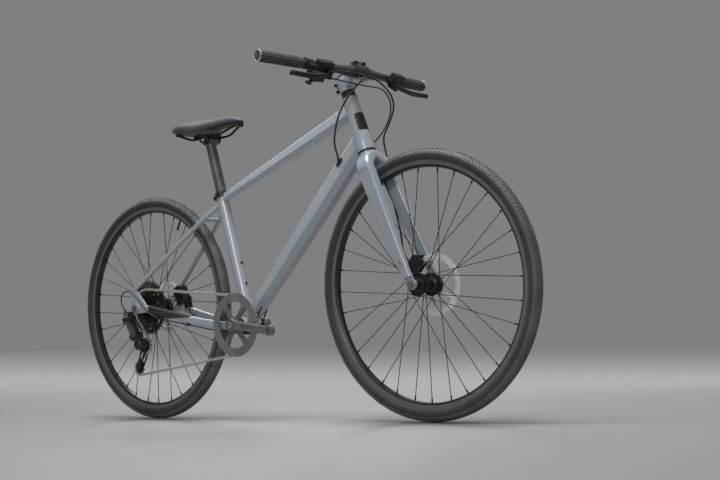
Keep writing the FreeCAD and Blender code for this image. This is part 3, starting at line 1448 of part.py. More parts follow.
keep("chain", *chain_links())
keep("crank_arm_right", *right_crank())
keep("crank_arm_left", *left_crank())
keep("chainring", *chainring())
keep("cassette", *cassette())


# Derailleur

hanger_face = -(rear_hub_spacing / 2 + dropout_thickness + hanger_thickness)
knuckle_inner = hanger_face - free_gap
knuckle_outer = -100.0
knuckle_radius = 12.5
link_half_length = 12.0
link_thickness = 5.0
barrel_radius = 4.5
link_pin_radius = 2.0
ear_gap = 0.4
ear_thickness = 4.0
link_spread = 9.0
slant = math.radians(link_slant)
link_way = V(0, math.sin(slant), -math.cos(slant))
link_across = V(0, math.cos(slant), math.sin(slant))
upper_middle = V(hanger_eye.x + 6.0, -91.0, hanger_eye.z - 17.0)
lower_middle = upper_middle + link_way * link_swing
forward = V(1, 0, 0)
plate_offset = 5.2
plate_thickness = 2.0
cage_outer_y = chain_y - plate_offset
cage_inner_y = chain_y + plate_offset
pulley_pin_radius = 2.5
cage_stub_radius = 7.0
cage_stub_length = 16.0


def link_pivots(middle):
    """Outer and inner pivot of one end of the parallelogram."""
    return middle - link_across * link_spread, middle + link_across * link_spread


def pivot_ears(middle, back):
    """Two ears with pins for both links, joined by a bridge on the side that the links don't reach."""
    pieces = []
    near = link_half_length + ear_gap
    far = near + ear_thickness
    for side in (-1, 1):
        for pivot in link_pivots(middle):
            pieces.append(rod(pivot + forward * (side * near), pivot + forward * (side * far), 6.0))
        centre = middle + forward * (side * 0.5 * (near + far)) + back * 5.0
        pieces.append(block(centre, forward, link_across, back, (ear_thickness, 2 * link_spread + 9.0,
                14.0)))
    bridge = block(middle + back * 10.0, forward, link_across, back, (2 * far, 2 * link_spread + 9.0, 8.0))
    space = [rod(pivot - forward * near, pivot + forward * near,
                 barrel_radius + 0.6) for pivot in link_pivots(middle)]
    pins = [rod(pivot - forward * (near + 1.0), pivot + forward * (near + 1.0),
                link_pin_radius) for pivot in link_pivots(middle)]
    return pieces + [bridge], space, pins


def derailleur_knuckle():
    """Body bolted to the hanger, with the upper pivots of the links and the housing's stop."""
    inner = V(hanger_eye.x, knuckle_inner, hanger_eye.z)
    outer = V(hanger_eye.x, knuckle_outer, hanger_eye.z)
    body = rod(inner, outer, knuckle_radius)
    pieces, space, pins = pivot_ears(upper_middle, link_way * -1)
    stop = rod(V(hanger_eye.x, housing_stop.y, hanger_eye.z), housing_stop, 4.5)
    body = body.multiFuse(pieces + [stop])
    inside = block(V(hanger_eye.x, knuckle_inner + 20.0, hanger_eye.z), forward, lateral, V(0, 0, 1),
                   (90.0, 40.0, 90.0))
    body = body.cut(Part.makeCompound(space)).cut(inside)
    body = body.multiFuse(pins).cut(inside)
    recess = rod(outer, outer + lateral * 4.0, 9.0)
    body = body.cut(recess).cut(rod(inner - lateral * 40.0, inner + lateral, hanger_bolt_radius + seat_gap))
    head = rod(outer + lateral * 3.9, outer + lateral * 0.8, 8.0).cut(rod(outer, outer + lateral * 3.0,
            4.5))
    bolt = rod(outer + lateral * 3.5, inner + lateral * (hanger_thickness + 1.0),
               hanger_bolt_radius).fuse(head)
    return [max(body.Solids, key=lambda solid: solid.Volume), bolt]


def derailleur_link(index, half_length):
    """One link of the parallelogram: a plate between two barrels."""
    start = link_pivots(upper_middle)[index]
    end = link_pivots(lower_middle)[index]
    middle = (start + end) * 0.5
    body = block(middle, forward, link_across, link_way, (2 * half_length, link_thickness, link_swing))
    barrels = []
    holes = []
    for pivot in (start, end):
        barrels.append(rod(pivot - forward * link_half_length, pivot + forward * link_half_length,
                           barrel_radius))
        holes.append(rod(pivot - forward * 20.0, pivot + forward * 20.0, link_pin_radius + fit_gap))
    return body.multiFuse(barrels).cut(Part.makeCompound(holes))


def derailleur_carrier():
    """Housing of the cage's spring, hung from the lower pivots of the links."""
    pieces, space, pins = pivot_ears(lower_middle, link_way)
    start = cage_outer_y - plate_thickness - free_gap
    centre = guide_centre + V(0, 0, 6.0)
    housing = rod(centre + lateral * start, centre + lateral * (start - 27.0), 18.0)
    dome = Part.makeCone(18.0, 13.0, 5.0, centre + lateral * (start - 27.0), lateral * -1)
    body = housing.multiFuse(pieces + [dome]).cut(Part.makeCompound(space))
    body = body.multiFuse(pins)
    return body.cut(rod(guide_centre + lateral * (start + 1.0),
                        guide_centre + lateral * (cage_outer_y - cage_stub_length - free_gap),
                        cage_stub_radius + fit_gap))


def derailleur_cage():
    """Two plates joined by the pulleys' axles, with the stub that turns in the carrier."""
    low = tension_centre(lean)
    along = (low - guide_centre).normalize()
    side = along.cross(lateral)
    made = []
    for face, out in ((cage_outer_y, -1), (cage_inner_y, 1)):
        shift = lateral * face
        push = lateral * (out * plate_thickness)
        wire = outline(guide_centre + shift, along, side,
                       [(cage_length + 4.0, 9.0), (0.0, 12.5), (-7.0, 9.0), (-7.0, -9.0), (0.0, -12.5),
                        (cage_length + 4.0, -9.0)], 3.0)
        slab = plate(wire, push)
        slab = slab.multiFuse([rod(guide_centre + shift, guide_centre + shift + push, 13.0),
                               rod(low + shift, low + shift + push, 10.5)])
        middle = guide_centre + along * (0.52 * cage_length) + shift
        window = plate(outline(middle, along, side, rectangle(17.0, 5.0), 4.0), push * 3)
        made.append(slab.cut(window))
    axles = []
    for spot in (guide_centre, low):
        axles.append(rod(spot + lateral * (cage_outer_y - plate_thickness),
                         spot + lateral * (cage_inner_y + plate_thickness), pulley_pin_radius))
    stub = rod(guide_centre + lateral * (cage_outer_y - 1.0),
               guide_centre + lateral * (cage_outer_y - cage_stub_length), cage_stub_radius)
    return made[0].multiFuse([made[1], stub] + axles)


def pulley(centre, number):
    """Toothed pulley with a hub as wide as the cage allows."""
    wheel = sprocket(centre, pulley_teeth, chain_y, pin_angle(number, centre), 9.0)
    half = plate_offset - free_gap
    hub_ring = rod(centre + lateral * (chain_y - half), centre + lateral * (chain_y + half), 6.0)
    web = rod(centre + lateral * (chain_y - 1.5), centre + lateral * (chain_y + 1.5), 14.0)
    whole = wheel.multiFuse([web, hub_ring])
    return whole.cut(rod(centre + lateral * (chain_y - 10.0), centre + lateral * (chain_y + 10.0),
                         pulley_pin_radius + fit_gap))


housing_stop = V(hanger_eye.x - 17.0, -90.0, hanger_eye.z + 16.0)
keep("derailleur_knuckle", *derailleur_knuckle())
keep("derailleur_outer_link", derailleur_link(0, link_half_length))
keep("derailleur_inner_link", derailleur_link(1, 0.7 * link_half_length))
keep("derailleur_carrier", derailleur_carrier())
keep("derailleur_cage", derailleur_cage())
keep("guide_pulley", pulley(guide_centre, 3))
keep("tension_pulley", pulley(tension_centre(lean), 5))


# Saddle and seatpost

post_low = seat_tube_length - post_inserted
saddle_clamp_point = on_seat(seat_tube_length + post_setup)
tilt_centre = saddle_clamp_point + V(0, 0, 12.0)
cradle_radius = 17.7
post_head_low = 7.0
rail_z = tilt_centre.z
shell_z = rail_z + 24.0
pad_z = shell_z + saddle_shell_thickness + seat_gap


def seatpost():
    """Seatpost tube with a round cross head, hollowed to carry the saddle clamp."""
    top = on_seat(seat_tube_length + post_setup - 8.0)
    tube = pipe(on_seat(post_low), top, seatpost_radius, seatpost_radius - tube_wall)
    neck = rod(on_seat(seat_tube_length + post_setup - 45.0), top, seatpost_radius)
    across = lateral * post_head_half_width
    barrel = rod(tilt_centre - across, tilt_centre + across, cradle_radius + free_gap + post_head_wall)
    groove = rod(tilt_centre - lateral * 40.0, tilt_centre + lateral * 40.0, cradle_radius + free_gap)
    above = block(tilt_centre + V(0, 0, 40.0 - post_head_low), forward, lateral, V(0, 0, 1), (80.0, 80.0,
            80.0))
    return tube.multiFuse([barrel, neck]).cut(groove).cut(above)


def rail_route(grow):
    """Left rail: out of the nose, down, straight through the clamp and up into the tail."""
    back = tilt_centre.x
    nose = shell_z - 3.0
    points = [
        V(back + 132.0, 9.0, nose), V(back + 108.0, 12.5, nose - 5.5), V(back + 66.0, rail_track, rail_z),
        V(back - 58.0, rail_track, rail_z), V(back - 84.0, 31.0, rail_z + 11.0), V(back - 104.0, 36.0,
                nose)]
    return hose(points, rail_radius + grow, "saddle rail")


def saddle_clamp():
    """Cradle below the rails and plate above them, held together by two screws."""
    half_y = rail_track + 7.0
    start = tilt_centre - lateral * half_y
    end = tilt_centre + lateral * half_y
    disc = rod(start, end, cradle_radius)
    lower = disc.common(Part.makeBox(60.0, 90.0, 30.0, tilt_centre + V(-30.0, -45.0, -30.5)))
    upper = block(tilt_centre + V(0, 0, 5.5), forward, lateral, V(0, 0, 1), (38.0, 2 * half_y, 10.0))
    grooves = Part.makeCompound([rod(tilt_centre + V(-50.0, s * rail_track, 0), tilt_centre + V(50.0,
            s * rail_track, 0), rail_radius + fit_gap)
                                 for s in (-1, 1)])
    screws = []
    holes = []
    for x in (-9.0, 9.0):
        spot = tilt_centre + V(x, 0, 10.5)
        screws.append(rod(spot - V(0, 0, 20.0), spot + V(0, 0, 1.0), 2.5).fuse(rod(spot + V(0, 0,
                seat_gap), spot + V(0, 0, 4.0), 4.2)))
        holes.append(rod(spot - V(0, 0, 21.0), spot + V(0, 0, 1.0), 2.5 + seat_gap))
    holes = Part.makeCompound(holes)
    return [lower.cut(grooves).cut(holes), upper.cut(grooves).cut(holes)] + screws


saddle_stations = (
    (-126.0, 30.0, 15.0, 0.8), (-121.0, 48.0, 22.0, 1.0), (-103.0, 66.0, 26.0, 2.5), (-76.0, 74.0, 27.5,
            10.0),
    (-42.0, 65.0, 26.0, 19.0), (-4.0, 43.0, 23.5, 11.0), (45.0, 28.0, 21.5, 3.5), (95.0, 21.5, 20.0, 1.2),
    (132.0, 16.5, 18.0, 1.0), (144.0, 12.5, 15.5, 0.9), (148.0, 8.0, 10.0, 0.8))
shell_share = 0.72


def saddle_pad():
    """Padded top lofted from tail to nose through (x, half width, height, skirt) stations: a crown and side skirts."""
    wires = []
    for x, half_width, height, skirt in saddle_stations:
        def at(share, rise):
            return V(tilt_centre.x + x, share * half_width, pad_z + rise)
        wires.append(Part.Wire([
            Part.makeLine(at(-0.8, 0), at(0.8, 0)),
            Part.makeLine(at(0.8, 0), at(0.87, -skirt)),
            Part.Arc(at(0.87, -skirt), at(1.0, 0.3 * height), at(0.8, 0.84 * height)).toShape(),
            Part.Arc(at(0.8, 0.84 * height), at(0, height), at(-0.8, 0.84 * height)).toShape(),
            Part.Arc(at(-0.8, 0.84 * height), at(-1.0, 0.3 * height), at(-0.87, -skirt)).toShape(),
            Part.makeLine(at(-0.87, -skirt), at(-0.8, 0))]))
    return Part.makeLoft(wires, True, False)


def saddle_shell():
    """Stiff base under the pad, with the sockets of the rails."""
    corners = [(x, shell_share * half) for x, half, _, _ in saddle_stations[1:-1]]
    ring = corners + [(x, -y) for x, y in reversed(corners)]
    points = [V(tilt_centre.x + x, y, shell_z) for x, y in ring]
    base = Part.Face(Part.makePolygon(points + points[:1])).extrude(V(0, 0, saddle_shell_thickness))
    nose = block(V(tilt_centre.x + 126.0, 0, shell_z - 3.5), forward, lateral, V(0, 0, 1), (20.0, 26.0,
            9.0))
    tails = [block(V(tilt_centre.x - 100.0, s * 35.5, shell_z - 3.5), forward, lateral, V(0, 0, 1), (16.0,
            14.0, 9.0)) for s in (-1, 1)]
    grown = rail_route(fit_gap)
    return base.multiFuse([nose] + tails).cut(grown).cut(mirrored(grown))


keep("seatpost", seatpost())
keep("saddle_clamp", *saddle_clamp())
left_rail = rail_route(0.0)
keep("saddle_rails", left_rail, mirrored(left_rail))
keep("saddle_shell", saddle_shell())
keep("saddle_pad", saddle_pad())


# Brake calipers

caliper_inner = 60.0
caliper_outer = 96.0
slot_depth = rotor_radius + 4.0
slot_half = rotor_thickness / 2 + pad_gap + pad_thickness + 0.1


def caliper(centre, angle, rotor_y, low_y, high_y, bracket, carrier, end_port):
    """Caliper over the edge of a rotor, with two pads, its hose fitting and a bracket shaped to its carrier.

    The hose enters at the lower end of the caliper, or else through its back.
    """
    a = math.radians(angle)
    radial = V(math.cos(a), 0, math.sin(a))
    around = V(-math.sin(a), 0, math.cos(a))
    half_length = caliper_length / 2

    def at(r, t, y):
        return centre + radial * r + around * t + lateral * y

    port_way = around * -1 if end_port else radial
    port = at(slot_depth + 4.0, -half_length - 6.0, rotor_y) if end_port else at(caliper_outer + 6.0, 2.0,
            rotor_y)
    wire = outline(at(0.5 * (caliper_inner + caliper_outer), 0.0, low_y), radial, around,
                   rectangle(0.5 * (caliper_outer - caliper_inner), half_length), 7.0)
    body = plate(wire, lateral * (high_y - low_y))
    slot = block(at(0.5 * (slot_depth + 40.0), 0.0, rotor_y), radial, lateral, around, (slot_depth - 40.0,
            2 * slot_half, 2 * half_length + 30.0))
    fitting = rod(port - port_way * 8.0, port, 4.2)
    body = body.multiFuse([fitting, bracket]).cut(slot).cut(carrier)
    body = max(body.Solids, key=lambda solid: solid.Volume)
    pads = []
    for side in (-1, 1):
        y = rotor_y + side * (rotor_thickness / 2 + pad_gap + pad_thickness / 2)
        pads.append(block(at(rotor_radius - 0.5 * rotor_track, 0.0, y), radial, lateral, around, (16.0,
                pad_thickness, 22.0)))
    return [body] + pads, port + port_way * free_gap, port_way


rear_high = rear_hub_spacing / 2 - free_gap
rear_bracket = plate(outline(rear_axle + lateral * (rear_high - 9.0), forward, V(0, 0, 1),
                             [(62.0, 14.0), (98.0, 32.0), (104.0, -18.0), (68.0,
                                     -10.0)], 3.0), lateral * 9.0)
left_stay_space = stay(chainstay_stations, seat_gap)
right_stay_space = mirrored(left_stay_space)
rear_solids, rear_port, rear_way = caliper(rear_axle, rear_caliper_angle, rear_rotor_y,
                                           2 * rear_rotor_y - rear_high, rear_high, rear_bracket,
                                           left_stay_space, True)
keep("rear_caliper", *rear_solids)
front_high = front_rotor_y + slot_half + 4.0
blade_space = Part.makeLoft([fork_section(u, n, y, 0.0, w + 2 * seat_gap, d + 2 * seat_gap,
                                          corner_radius + seat_gap)
                             for u, n, y, w, d in blade_stations], True, False)
front_bracket = block(on_head(76.0, 26.0, front_high + 2.0), head_forward, lateral, head_up, (26.0, 16.0,
        24.0))
front_solids, front_port, front_way = caliper(front_axle, front_caliper_angle, front_rotor_y,
                                              front_rotor_y - 15.5, front_high, front_bracket,
                                              blade_space, False)
keep("front_caliper", *front_solids)


# Hoses, housing and their guides

brake_hose_radius = 2.5
housing_radius = 2.0
port_along = 587.0
port_up = 17.0
port_y = 17.0
exit_along = 70.0
under_bb = bb.z - bb_shell_radius - 7.5
out_port = hose_port[0] - free_gap


def right_bar(out, along, up):
    """Point of the right half of the bar."""
    spot = on_bar(out, along, up)
    return V(spot.x, -spot.y, spot.z)


def inside_down(side, up):
    """Run of a line through the down tube: in on one side, across, and out of its underside on the other."""
    return [on_down(port_along, port_up, side * port_y), on_down(port_along - 52.0, up + 2.0, side * 9.0),
            on_down(150.0, up, side * -10.0), on_down(exit_along, -20.0, side * -14.0),
            V(bb.x + 32.5, side * -15.0, bb.z - 15.0), V(bb.x - 5.0, side * -17.0, under_bb)]


def under_stay(side, stations):
    """Points below a chainstay, by distance behind the crank axis, to its side and above it."""
    return [V(bb.x - x, side * y, bb.z + z) for x, y, z in stations]


rear_hose_points = [
    on_bar(out_port, 24.0, 3.0), on_bar(80.0, 24.0, 3.0), on_bar(45.0, 28.0, 7.0), V(388.0, 0.0,
            919.0), V(370.0, -30.0, 886.0),
    V(348.0, -46.0, 853.0), V(320.0, -50.0, 810.5), V(305.0, -48.0, 767.0), V(296.0, -42.0, 741.6)]
rear_hose_points += inside_down(-1, 5.0)
rear_hose_points += under_stay(1, ((94.5, 35.5, -15.0), (209.5, 50.0, 8.0), (268.0, 50.0, 22.5), (302.0,
        46.5, 40.0)))
rear_hose_points += [rear_port + rear_way * 22.0, rear_port]
front_hose_points = [
    right_bar(out_port, 24.0, 3.0), right_bar(80.0, 24.0, 3.0), right_bar(45.0, 31.5, 9.5), V(398.0, 10.0,
            914.0),
    V(412.0, 30.0, 899.0), V(431.0, 46.0, 868.0), V(432.0, 56.0, 838.0), V(421.0, 60.0, 815.0), V(404.0,
            60.0, 786.0),
    V(384.0, 57.0, 757.0), on_head(395.0, 14.0, 61.5), on_head(345.0, 6.0, 64.5), on_head(300.0, -3.0,
            63.5),
    on_head(250.0, -11.0, 56.0), on_head(170.0, -10.0, 48.0), front_port + front_way * 28.0, front_port]
housing_points = [
    right_bar(shifter_centre[0] - 32.0 - free_gap, shifter_centre[1], shifter_centre[2]),
    right_bar(shifter_centre[0] - 56.0, shifter_centre[1], shifter_centre[2]), right_bar(48.0, 29.0, -21.3),
    V(396.0, 4.0, 888.0), V(418.0, 27.0, 883.0), V(428.5, 41.0, 858.0), V(427.0, 49.0, 832.0), V(416.0,
            53.0, 806.0),
    V(397.0, 54.0, 779.0), V(366.0, 50.0, 750.0), V(325.0, 38.0, 720.0)]
housing_points += inside_down(1, -5.0)
housing_points += under_stay(-1, ((94.5, 35.5, -14.0), (209.5, 50.0, 8.5), (318.0, 63.5, 31.5), (348.0,
        75.5, 42.5)))
housing_points += [rear_axle + V(x, y, z) for x, y, z in (
    (55.0, -82.5, -9.0), (28.0, -86.0, 22.0), (2.0, -87.5, 44.0), (-21.0, -88.5, 54.5), (-43.0, -89.0,
            52.0),
    (-56.5, -90.0, 35.0), (-54.0, -90.0, 13.0))]
housing_points.append(housing_stop + (housing_stop - V(hanger_eye.x, housing_stop.y,
                                                       hanger_eye.z)).normalize() * free_gap)

rear_hose = hose(rear_hose_points, brake_hose_radius, "rear brake hose")
shift_housing = hose(housing_points, housing_radius, "shift housing")
front_hose = hose(front_hose_points, brake_hose_radius, "front brake hose")
rear_hose_space = hose(rear_hose_points, brake_hose_radius + 0.4, "rear brake hose space")
housing_space = hose(housing_points, housing_radius + 0.4, "shift housing space")


def cable_guides():
    """Grommets in the down tube, the guide under the crank axis and clips below the chainstays."""
    made = []
    flank_out = V(0, 0.983, 0) + down_up * 0.181
    for side, space in ((-1, rear_hose_space), (1, housing_space)):
        out = V(flank_out.x, side * flank_out.y, flank_out.z)
        centre = on_down(port_along, port_up, side * port_y) - out * 3.0
        rise = out.cross(down_along)
        oval = plate(outline(centre, down_along, rise, rectangle(14.0, 6.0), 5.5), out * 5.5)
        grommet = oval.cut(down_space).cut(space)
        made.append(max(grommet.Solids, key=lambda solid: solid.Volume))
    base = block(V(bb.x - 4.0, 0, under_bb + 4.5), forward, lateral, V(0, 0, 1), (22.0, 46.0, 12.0))
    shell_space = rod(bb - lateral * 40.0, bb + lateral * 40.0, bb_shell_radius + seat_gap)
    base = base.cut(shell_space).cut(rear_hose_space).cut(housing_space).cut(left_stay_space).cut(right_stay_space)
    made.append(max(base.Solids, key=lambda solid: solid.Volume))
    for side, space, reach in ((1, rear_hose_space, (209.5,)), (-1, housing_space, (209.5, 318.0))):
        for x in reach:
            share = (x - 209.5) / 108.5
            spot = V(bb.x - x, side * (50.0 + 13.5 * share), bb.z + 10.0 + 23.5 * share)
            clip = block(spot, forward, lateral, V(0, 0, 1), (9.0, 9.0, 9.0)).cut(space)
            clip = clip.cut(left_stay_space).cut(right_stay_space).cut(guard)
            made.append(max(clip.Solids, key=lambda solid: solid.Volume))
    return made


keep("rear_brake_hose", rear_hose)
keep("shift_housing", shift_housing)
keep("front_brake_hose", front_hose)
keep("cable_guides", *cable_guides())
keep("down_tube", down_tube.cut(Part.makeCompound(bolt_holes[2:])).cut(rear_hose_space).cut(housing_space))
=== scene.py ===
import bmesh
import bpy
import numpy as np
from mathutils import Matrix, Vector


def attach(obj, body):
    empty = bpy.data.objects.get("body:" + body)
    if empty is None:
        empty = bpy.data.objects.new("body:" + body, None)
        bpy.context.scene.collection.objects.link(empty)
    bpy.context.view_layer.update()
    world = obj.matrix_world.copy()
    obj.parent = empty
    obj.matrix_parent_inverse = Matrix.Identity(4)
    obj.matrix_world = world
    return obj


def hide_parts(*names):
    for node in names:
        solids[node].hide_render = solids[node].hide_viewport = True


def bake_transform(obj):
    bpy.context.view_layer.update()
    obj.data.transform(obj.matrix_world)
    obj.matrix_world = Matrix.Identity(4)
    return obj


# Hybrid bicycle, dressed over its solids. Metres; origin on the ground midway between the axles,
# +X forward, +Y to the rider's left, +Z up. Sections follow the order in which it is put together.
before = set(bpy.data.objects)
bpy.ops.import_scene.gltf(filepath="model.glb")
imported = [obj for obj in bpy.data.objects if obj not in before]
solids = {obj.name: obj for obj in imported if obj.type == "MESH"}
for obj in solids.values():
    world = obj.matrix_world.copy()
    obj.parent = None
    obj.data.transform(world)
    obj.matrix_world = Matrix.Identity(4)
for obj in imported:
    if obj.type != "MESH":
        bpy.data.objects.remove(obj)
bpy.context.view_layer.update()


# Studio
# A pale seamless floor that runs off into a grey backdrop. A broad soft light hangs overhead, a
# weaker one stands on the camera's side and a narrow one behind, as for a catalogue picture.

def tone(red, green, blue):
    """Display colour from 0 to 255 as the linear colour that a shader takes."""
    share = np.array([red, green, blue]) / 255.0
    linear = np.where(share <= 0.04045, share / 12.92, ((share + 0.055) / 1.055) ** 2.4)
    return (*[float(c) for c in linear], 1.0)


eye = np.array([2.402, -2.340, 0.246])
yaw, pitch, roll = np.radians([41.49, -4.33, -3.18])
image_width = 720
focal_pixels = 1169.1
back = np.array([np.sin(yaw) * np.cos(pitch), -np.cos(yaw) * np.cos(pitch), np.sin(pitch)])
level = np.array([np.cos(yaw), np.sin(yaw), 0.0])
rise = np.cross(back, level)
view_right = np.cos(roll) * level + np.sin(roll) * rise
view_up = np.cos(roll) * rise - np.sin(roll) * level
lens = bpy.data.cameras.new("photo_camera")
lens.sensor_width = 36.0
lens.lens = focal_pixels * lens.sensor_width / image_width
camera = bpy.data.objects.new("photo_camera", lens)
turn = np.identity(4)
turn[:3] = np.column_stack([view_right, view_up, back, eye])
camera.matrix_world = Matrix(turn.tolist())
bpy.context.scene.collection.objects.link(camera)
bpy.context.scene.camera = camera
bpy.context.scene.view_settings.view_transform = "Standard"


def reckon(tree, operation, first, second):
    """Math node of a tree; each of its inputs is a number or another node's output."""
    node = tree.nodes.new("ShaderNodeMath")
    node.operation = operation
    for socket, given in zip(node.inputs, (first, second)):
        if isinstance(given, float):
            socket.default_value = given
        else:
            tree.links.new(given, socket)
    return node.outputs[0]


backdrop_tone = tone(128, 128, 129)
air_strength = 0.19
world = bpy.data.worlds.new("studio_air")
world.use_nodes = True
bpy.context.scene.world = world
air = world.node_tree
air.nodes.clear()
air_light = air.nodes.new("ShaderNodeBackground")
air_light.inputs["Color"].default_value = (0.96, 0.98, 1.0, 1.0)
air_light.inputs["Strength"].default_value = air_strength
air_seen = air.nodes.new("ShaderNodeBackground")
air_seen.inputs["Color"].default_value = backdrop_tone
air_path = air.nodes.new("ShaderNodeLightPath")
seen, mirrored, through = [air_path.outputs[f"Is {ray} Ray"] for ray in ("Camera", "Glossy", "Transmission")]
seen_any_way = reckon(air, "MAXIMUM", reckon(air, "MAXIMUM", seen, mirrored), through)
air_mix = air.nodes.new("ShaderNodeMixShader")
air_out = air.nodes.new("ShaderNodeOutputWorld")
air.links.new(seen_any_way, air_mix.inputs[0])
air.links.new(air_light.outputs[0], air_mix.inputs[1])
air.links.new(air_seen.outputs[0], air_mix.inputs[2])
air.links.new(air_mix.outputs[0], air_out.inputs["Surface"])

floor_mesh = bpy.data.meshes.new("floor")
floor_half = 60.0
floor_corners = np.array([(-1, -1, 0), (1, -1, 0), (1, 1, 0), (-1, 1, 0)]) * floor_half
floor_mesh.from_pydata(floor_corners.tolist(), [], [(0, 1, 2, 3)])
floor = bpy.data.objects.new("floor", floor_mesh)
bpy.context.scene.collection.objects.link(floor)
# The floor's material carries its pale grey, a painted shadow round the parts that stand on it, and a painted
# glow where it runs into the backdrop.
floor_tone_and_painted_light = bpy.data.materials.new("floor_tone_and_painted_light")
floor_tone_and_painted_light.use_nodes = True
floor_tree = floor_tone_and_painted_light.node_tree
floor_shader = floor_tree.nodes["Principled BSDF"]
floor_shader.inputs["Roughness"].default_value = 0.6


def along_way(tree, vector, way):
    """Length of a vector along a direction."""
    node = tree.nodes.new("ShaderNodeVectorMath")
    node.operation = "DOT_PRODUCT"
    node.inputs[1].default_value = way
    tree.links.new(vector, node.inputs[0])
    return node.outputs["Value"]


def ease(tree, value, low, high):
    """Smooth step of a value from nought at one bound to one at the other."""
    node = tree.nodes.new("ShaderNodeMapRange")
    node.interpolation_type = "SMOOTHSTEP"
    node.inputs["From Min"].default_value = low
    node.inputs["From Max"].default_value = high
    tree.links.new(value, node.inputs["Value"])
    return node.outputs["Result"]


def shade(tree, value, low, low_tone, high, high_tone):
    """Colour ramp between two tones."""
    node = tree.nodes.new("ShaderNodeValToRGB")
    node.color_ramp.elements[0].position = low
    node.color_ramp.elements[0].color = low_tone
    node.color_ramp.elements[1].position = high
    node.color_ramp.elements[1].color = high_tone
    tree.links.new(value, node.inputs["Fac"])
    return node.outputs["Color"]


# Bounds between which the floor's painted glow, laid in fixed places, takes over from its lit surface and
# fades to the backdrop grey:
# metres ahead of the camera's viewpoint and metres from the bicycle, slopes to either side of that view, and
# rows below the picture's middle.
fade_ahead = (2.4, 4.4)
fade_reach = (2.6, 8.0)
fade_beside = (0.33, 0.60)
backdrop_rows = (-148, -104)
glow_rows = (-188, -136)
# Reach over which parts close above the floor darken it with painted shadow.
shadow_reach_at_contacts = 0.15
floor_place = floor_tree.nodes.new("ShaderNodeTexCoord")
floor_offset = floor_tree.nodes.new("ShaderNodeVectorMath")
floor_offset.operation = "SUBTRACT"
floor_offset.inputs[1].default_value = eye
floor_tree.links.new(floor_place.outputs["Object"], floor_offset.inputs[0])
floor_reach = floor_tree.nodes.new("ShaderNodeVectorMath")
floor_reach.operation = "LENGTH"
floor_tree.links.new(floor_place.outputs["Object"], floor_reach.inputs[0])
floor_ahead = along_way(floor_tree, floor_offset.outputs[0], -back)
floor_drop = along_way(floor_tree, floor_offset.outputs[0], view_up)
floor_depth = reckon(floor_tree, "MAXIMUM", floor_ahead, 1.0)
floor_slope = reckon(floor_tree, "DIVIDE", floor_drop, floor_depth)
floor_across = along_way(floor_tree, floor_offset.outputs[0], view_right)
floor_side = reckon(floor_tree, "DIVIDE", floor_across, floor_depth)
floor_beside = ease(floor_tree, reckon(floor_tree, "ABSOLUTE", floor_side, 0.0), *fade_beside)
floor_before = reckon(floor_tree, "SUBTRACT", 1.0, floor_beside)
floor_past = ease(floor_tree, floor_ahead, *fade_ahead)
floor_behind = reckon(floor_tree, "MULTIPLY", floor_past, floor_before)
floor_round = reckon(floor_tree, "SUBTRACT", 1.0, floor_behind)
floor_fade = ease(floor_tree, floor_reach.outputs["Value"], *fade_reach)
floor_end = reckon(floor_tree, "MULTIPLY", floor_fade, floor_round)
floor_rise = ease(floor_tree, floor_slope, *[row / focal_pixels for row in backdrop_rows])
floor_glow = ease(floor_tree, floor_slope, *[row / focal_pixels for row in glow_rows])
floor_risen = reckon(floor_tree, "MULTIPLY", floor_rise, floor_behind)
floor_glowing = reckon(floor_tree, "MULTIPLY", floor_glow, floor_behind)
floor_away = reckon(floor_tree, "MAXIMUM", floor_risen, floor_end)
painted_glow_share = reckon(floor_tree, "MAXIMUM", floor_glowing, floor_end)
# Painted shadow: ambient occlusion darkens the floor's colour towards a near black where the tyres and other
# parts stand close above it.
shadow_occlusion = floor_tree.nodes.new("ShaderNodeAmbientOcclusion")
shadow_occlusion.samples = 8
shadow_occlusion.inputs["Distance"].default_value = shadow_reach_at_contacts
painted_floor_shadow = shade(floor_tree, shadow_occlusion.outputs["AO"], 0.55, tone(40, 40, 41), 1.0, tone(139, 139, 140))
floor_tree.links.new(painted_floor_shadow, floor_shader.inputs["Base Color"])
# Painted light: where it fades, the floor is an emission that glows from a pale floor grey to the backdrop
# grey instead of being lit by the lamps.
painted_floor_glow = floor_tree.nodes.new("ShaderNodeEmission")
painted_glow_tone = shade(floor_tree, floor_away, 0.0, tone(181, 181, 182), 1.0, backdrop_tone)
floor_tree.links.new(painted_glow_tone, painted_floor_glow.inputs["Color"])
floor_mix = floor_tree.nodes.new("ShaderNodeMixShader")
floor_tree.links.new(painted_glow_share, floor_mix.inputs[0])
floor_tree.links.new(floor_shader.outputs[0], floor_mix.inputs[1])
floor_tree.links.new(painted_floor_glow.outputs[0], floor_mix.inputs[2])
floor_tree.links.new(floor_mix.outputs[0], floor_tree.nodes["Material Output"].inputs["Surface"])
floor_mesh.materials.append(floor_tone_and_painted_light)


def soft_light(name, place, aim, width, depth, power):
    """Rectangular soft light at one point, turned to face another."""
    data = bpy.data.lights.new(name, "AREA")
    data.shape = "RECTANGLE"
    data.size = width
    data.size_y = depth
    data.energy = power
    lamp = bpy.data.objects.new(name, data)
    lamp.location = place
    lamp.rotation_euler = (Vector(aim) - Vector(place)).to_track_quat("-Z", "Y").to_euler()
    bpy.context.scene.collection.objects.link(lamp)


soft_light("overhead_light", (0.1, -0.3, 3.1), (0.0, 0.0, 0.4), 2.6, 1.2, 120.0)
soft_light("camera_side_light", (2.0, -3.4, 2.2), (0.0, 0.0, 0.5), 2.0, 1.2, 46.0)
soft_light("back_light", (-2.6, 2.6, 2.2), (0.0, 0.0, 0.6), 2.0, 1.0, 30.0)


# Frame
# Hydroformed aluminium tubes with creased flanks, welded together and painted in one gloss
# blue-grey coat. The chainstay carries a rubber guard, and screws close the bottle mounts.

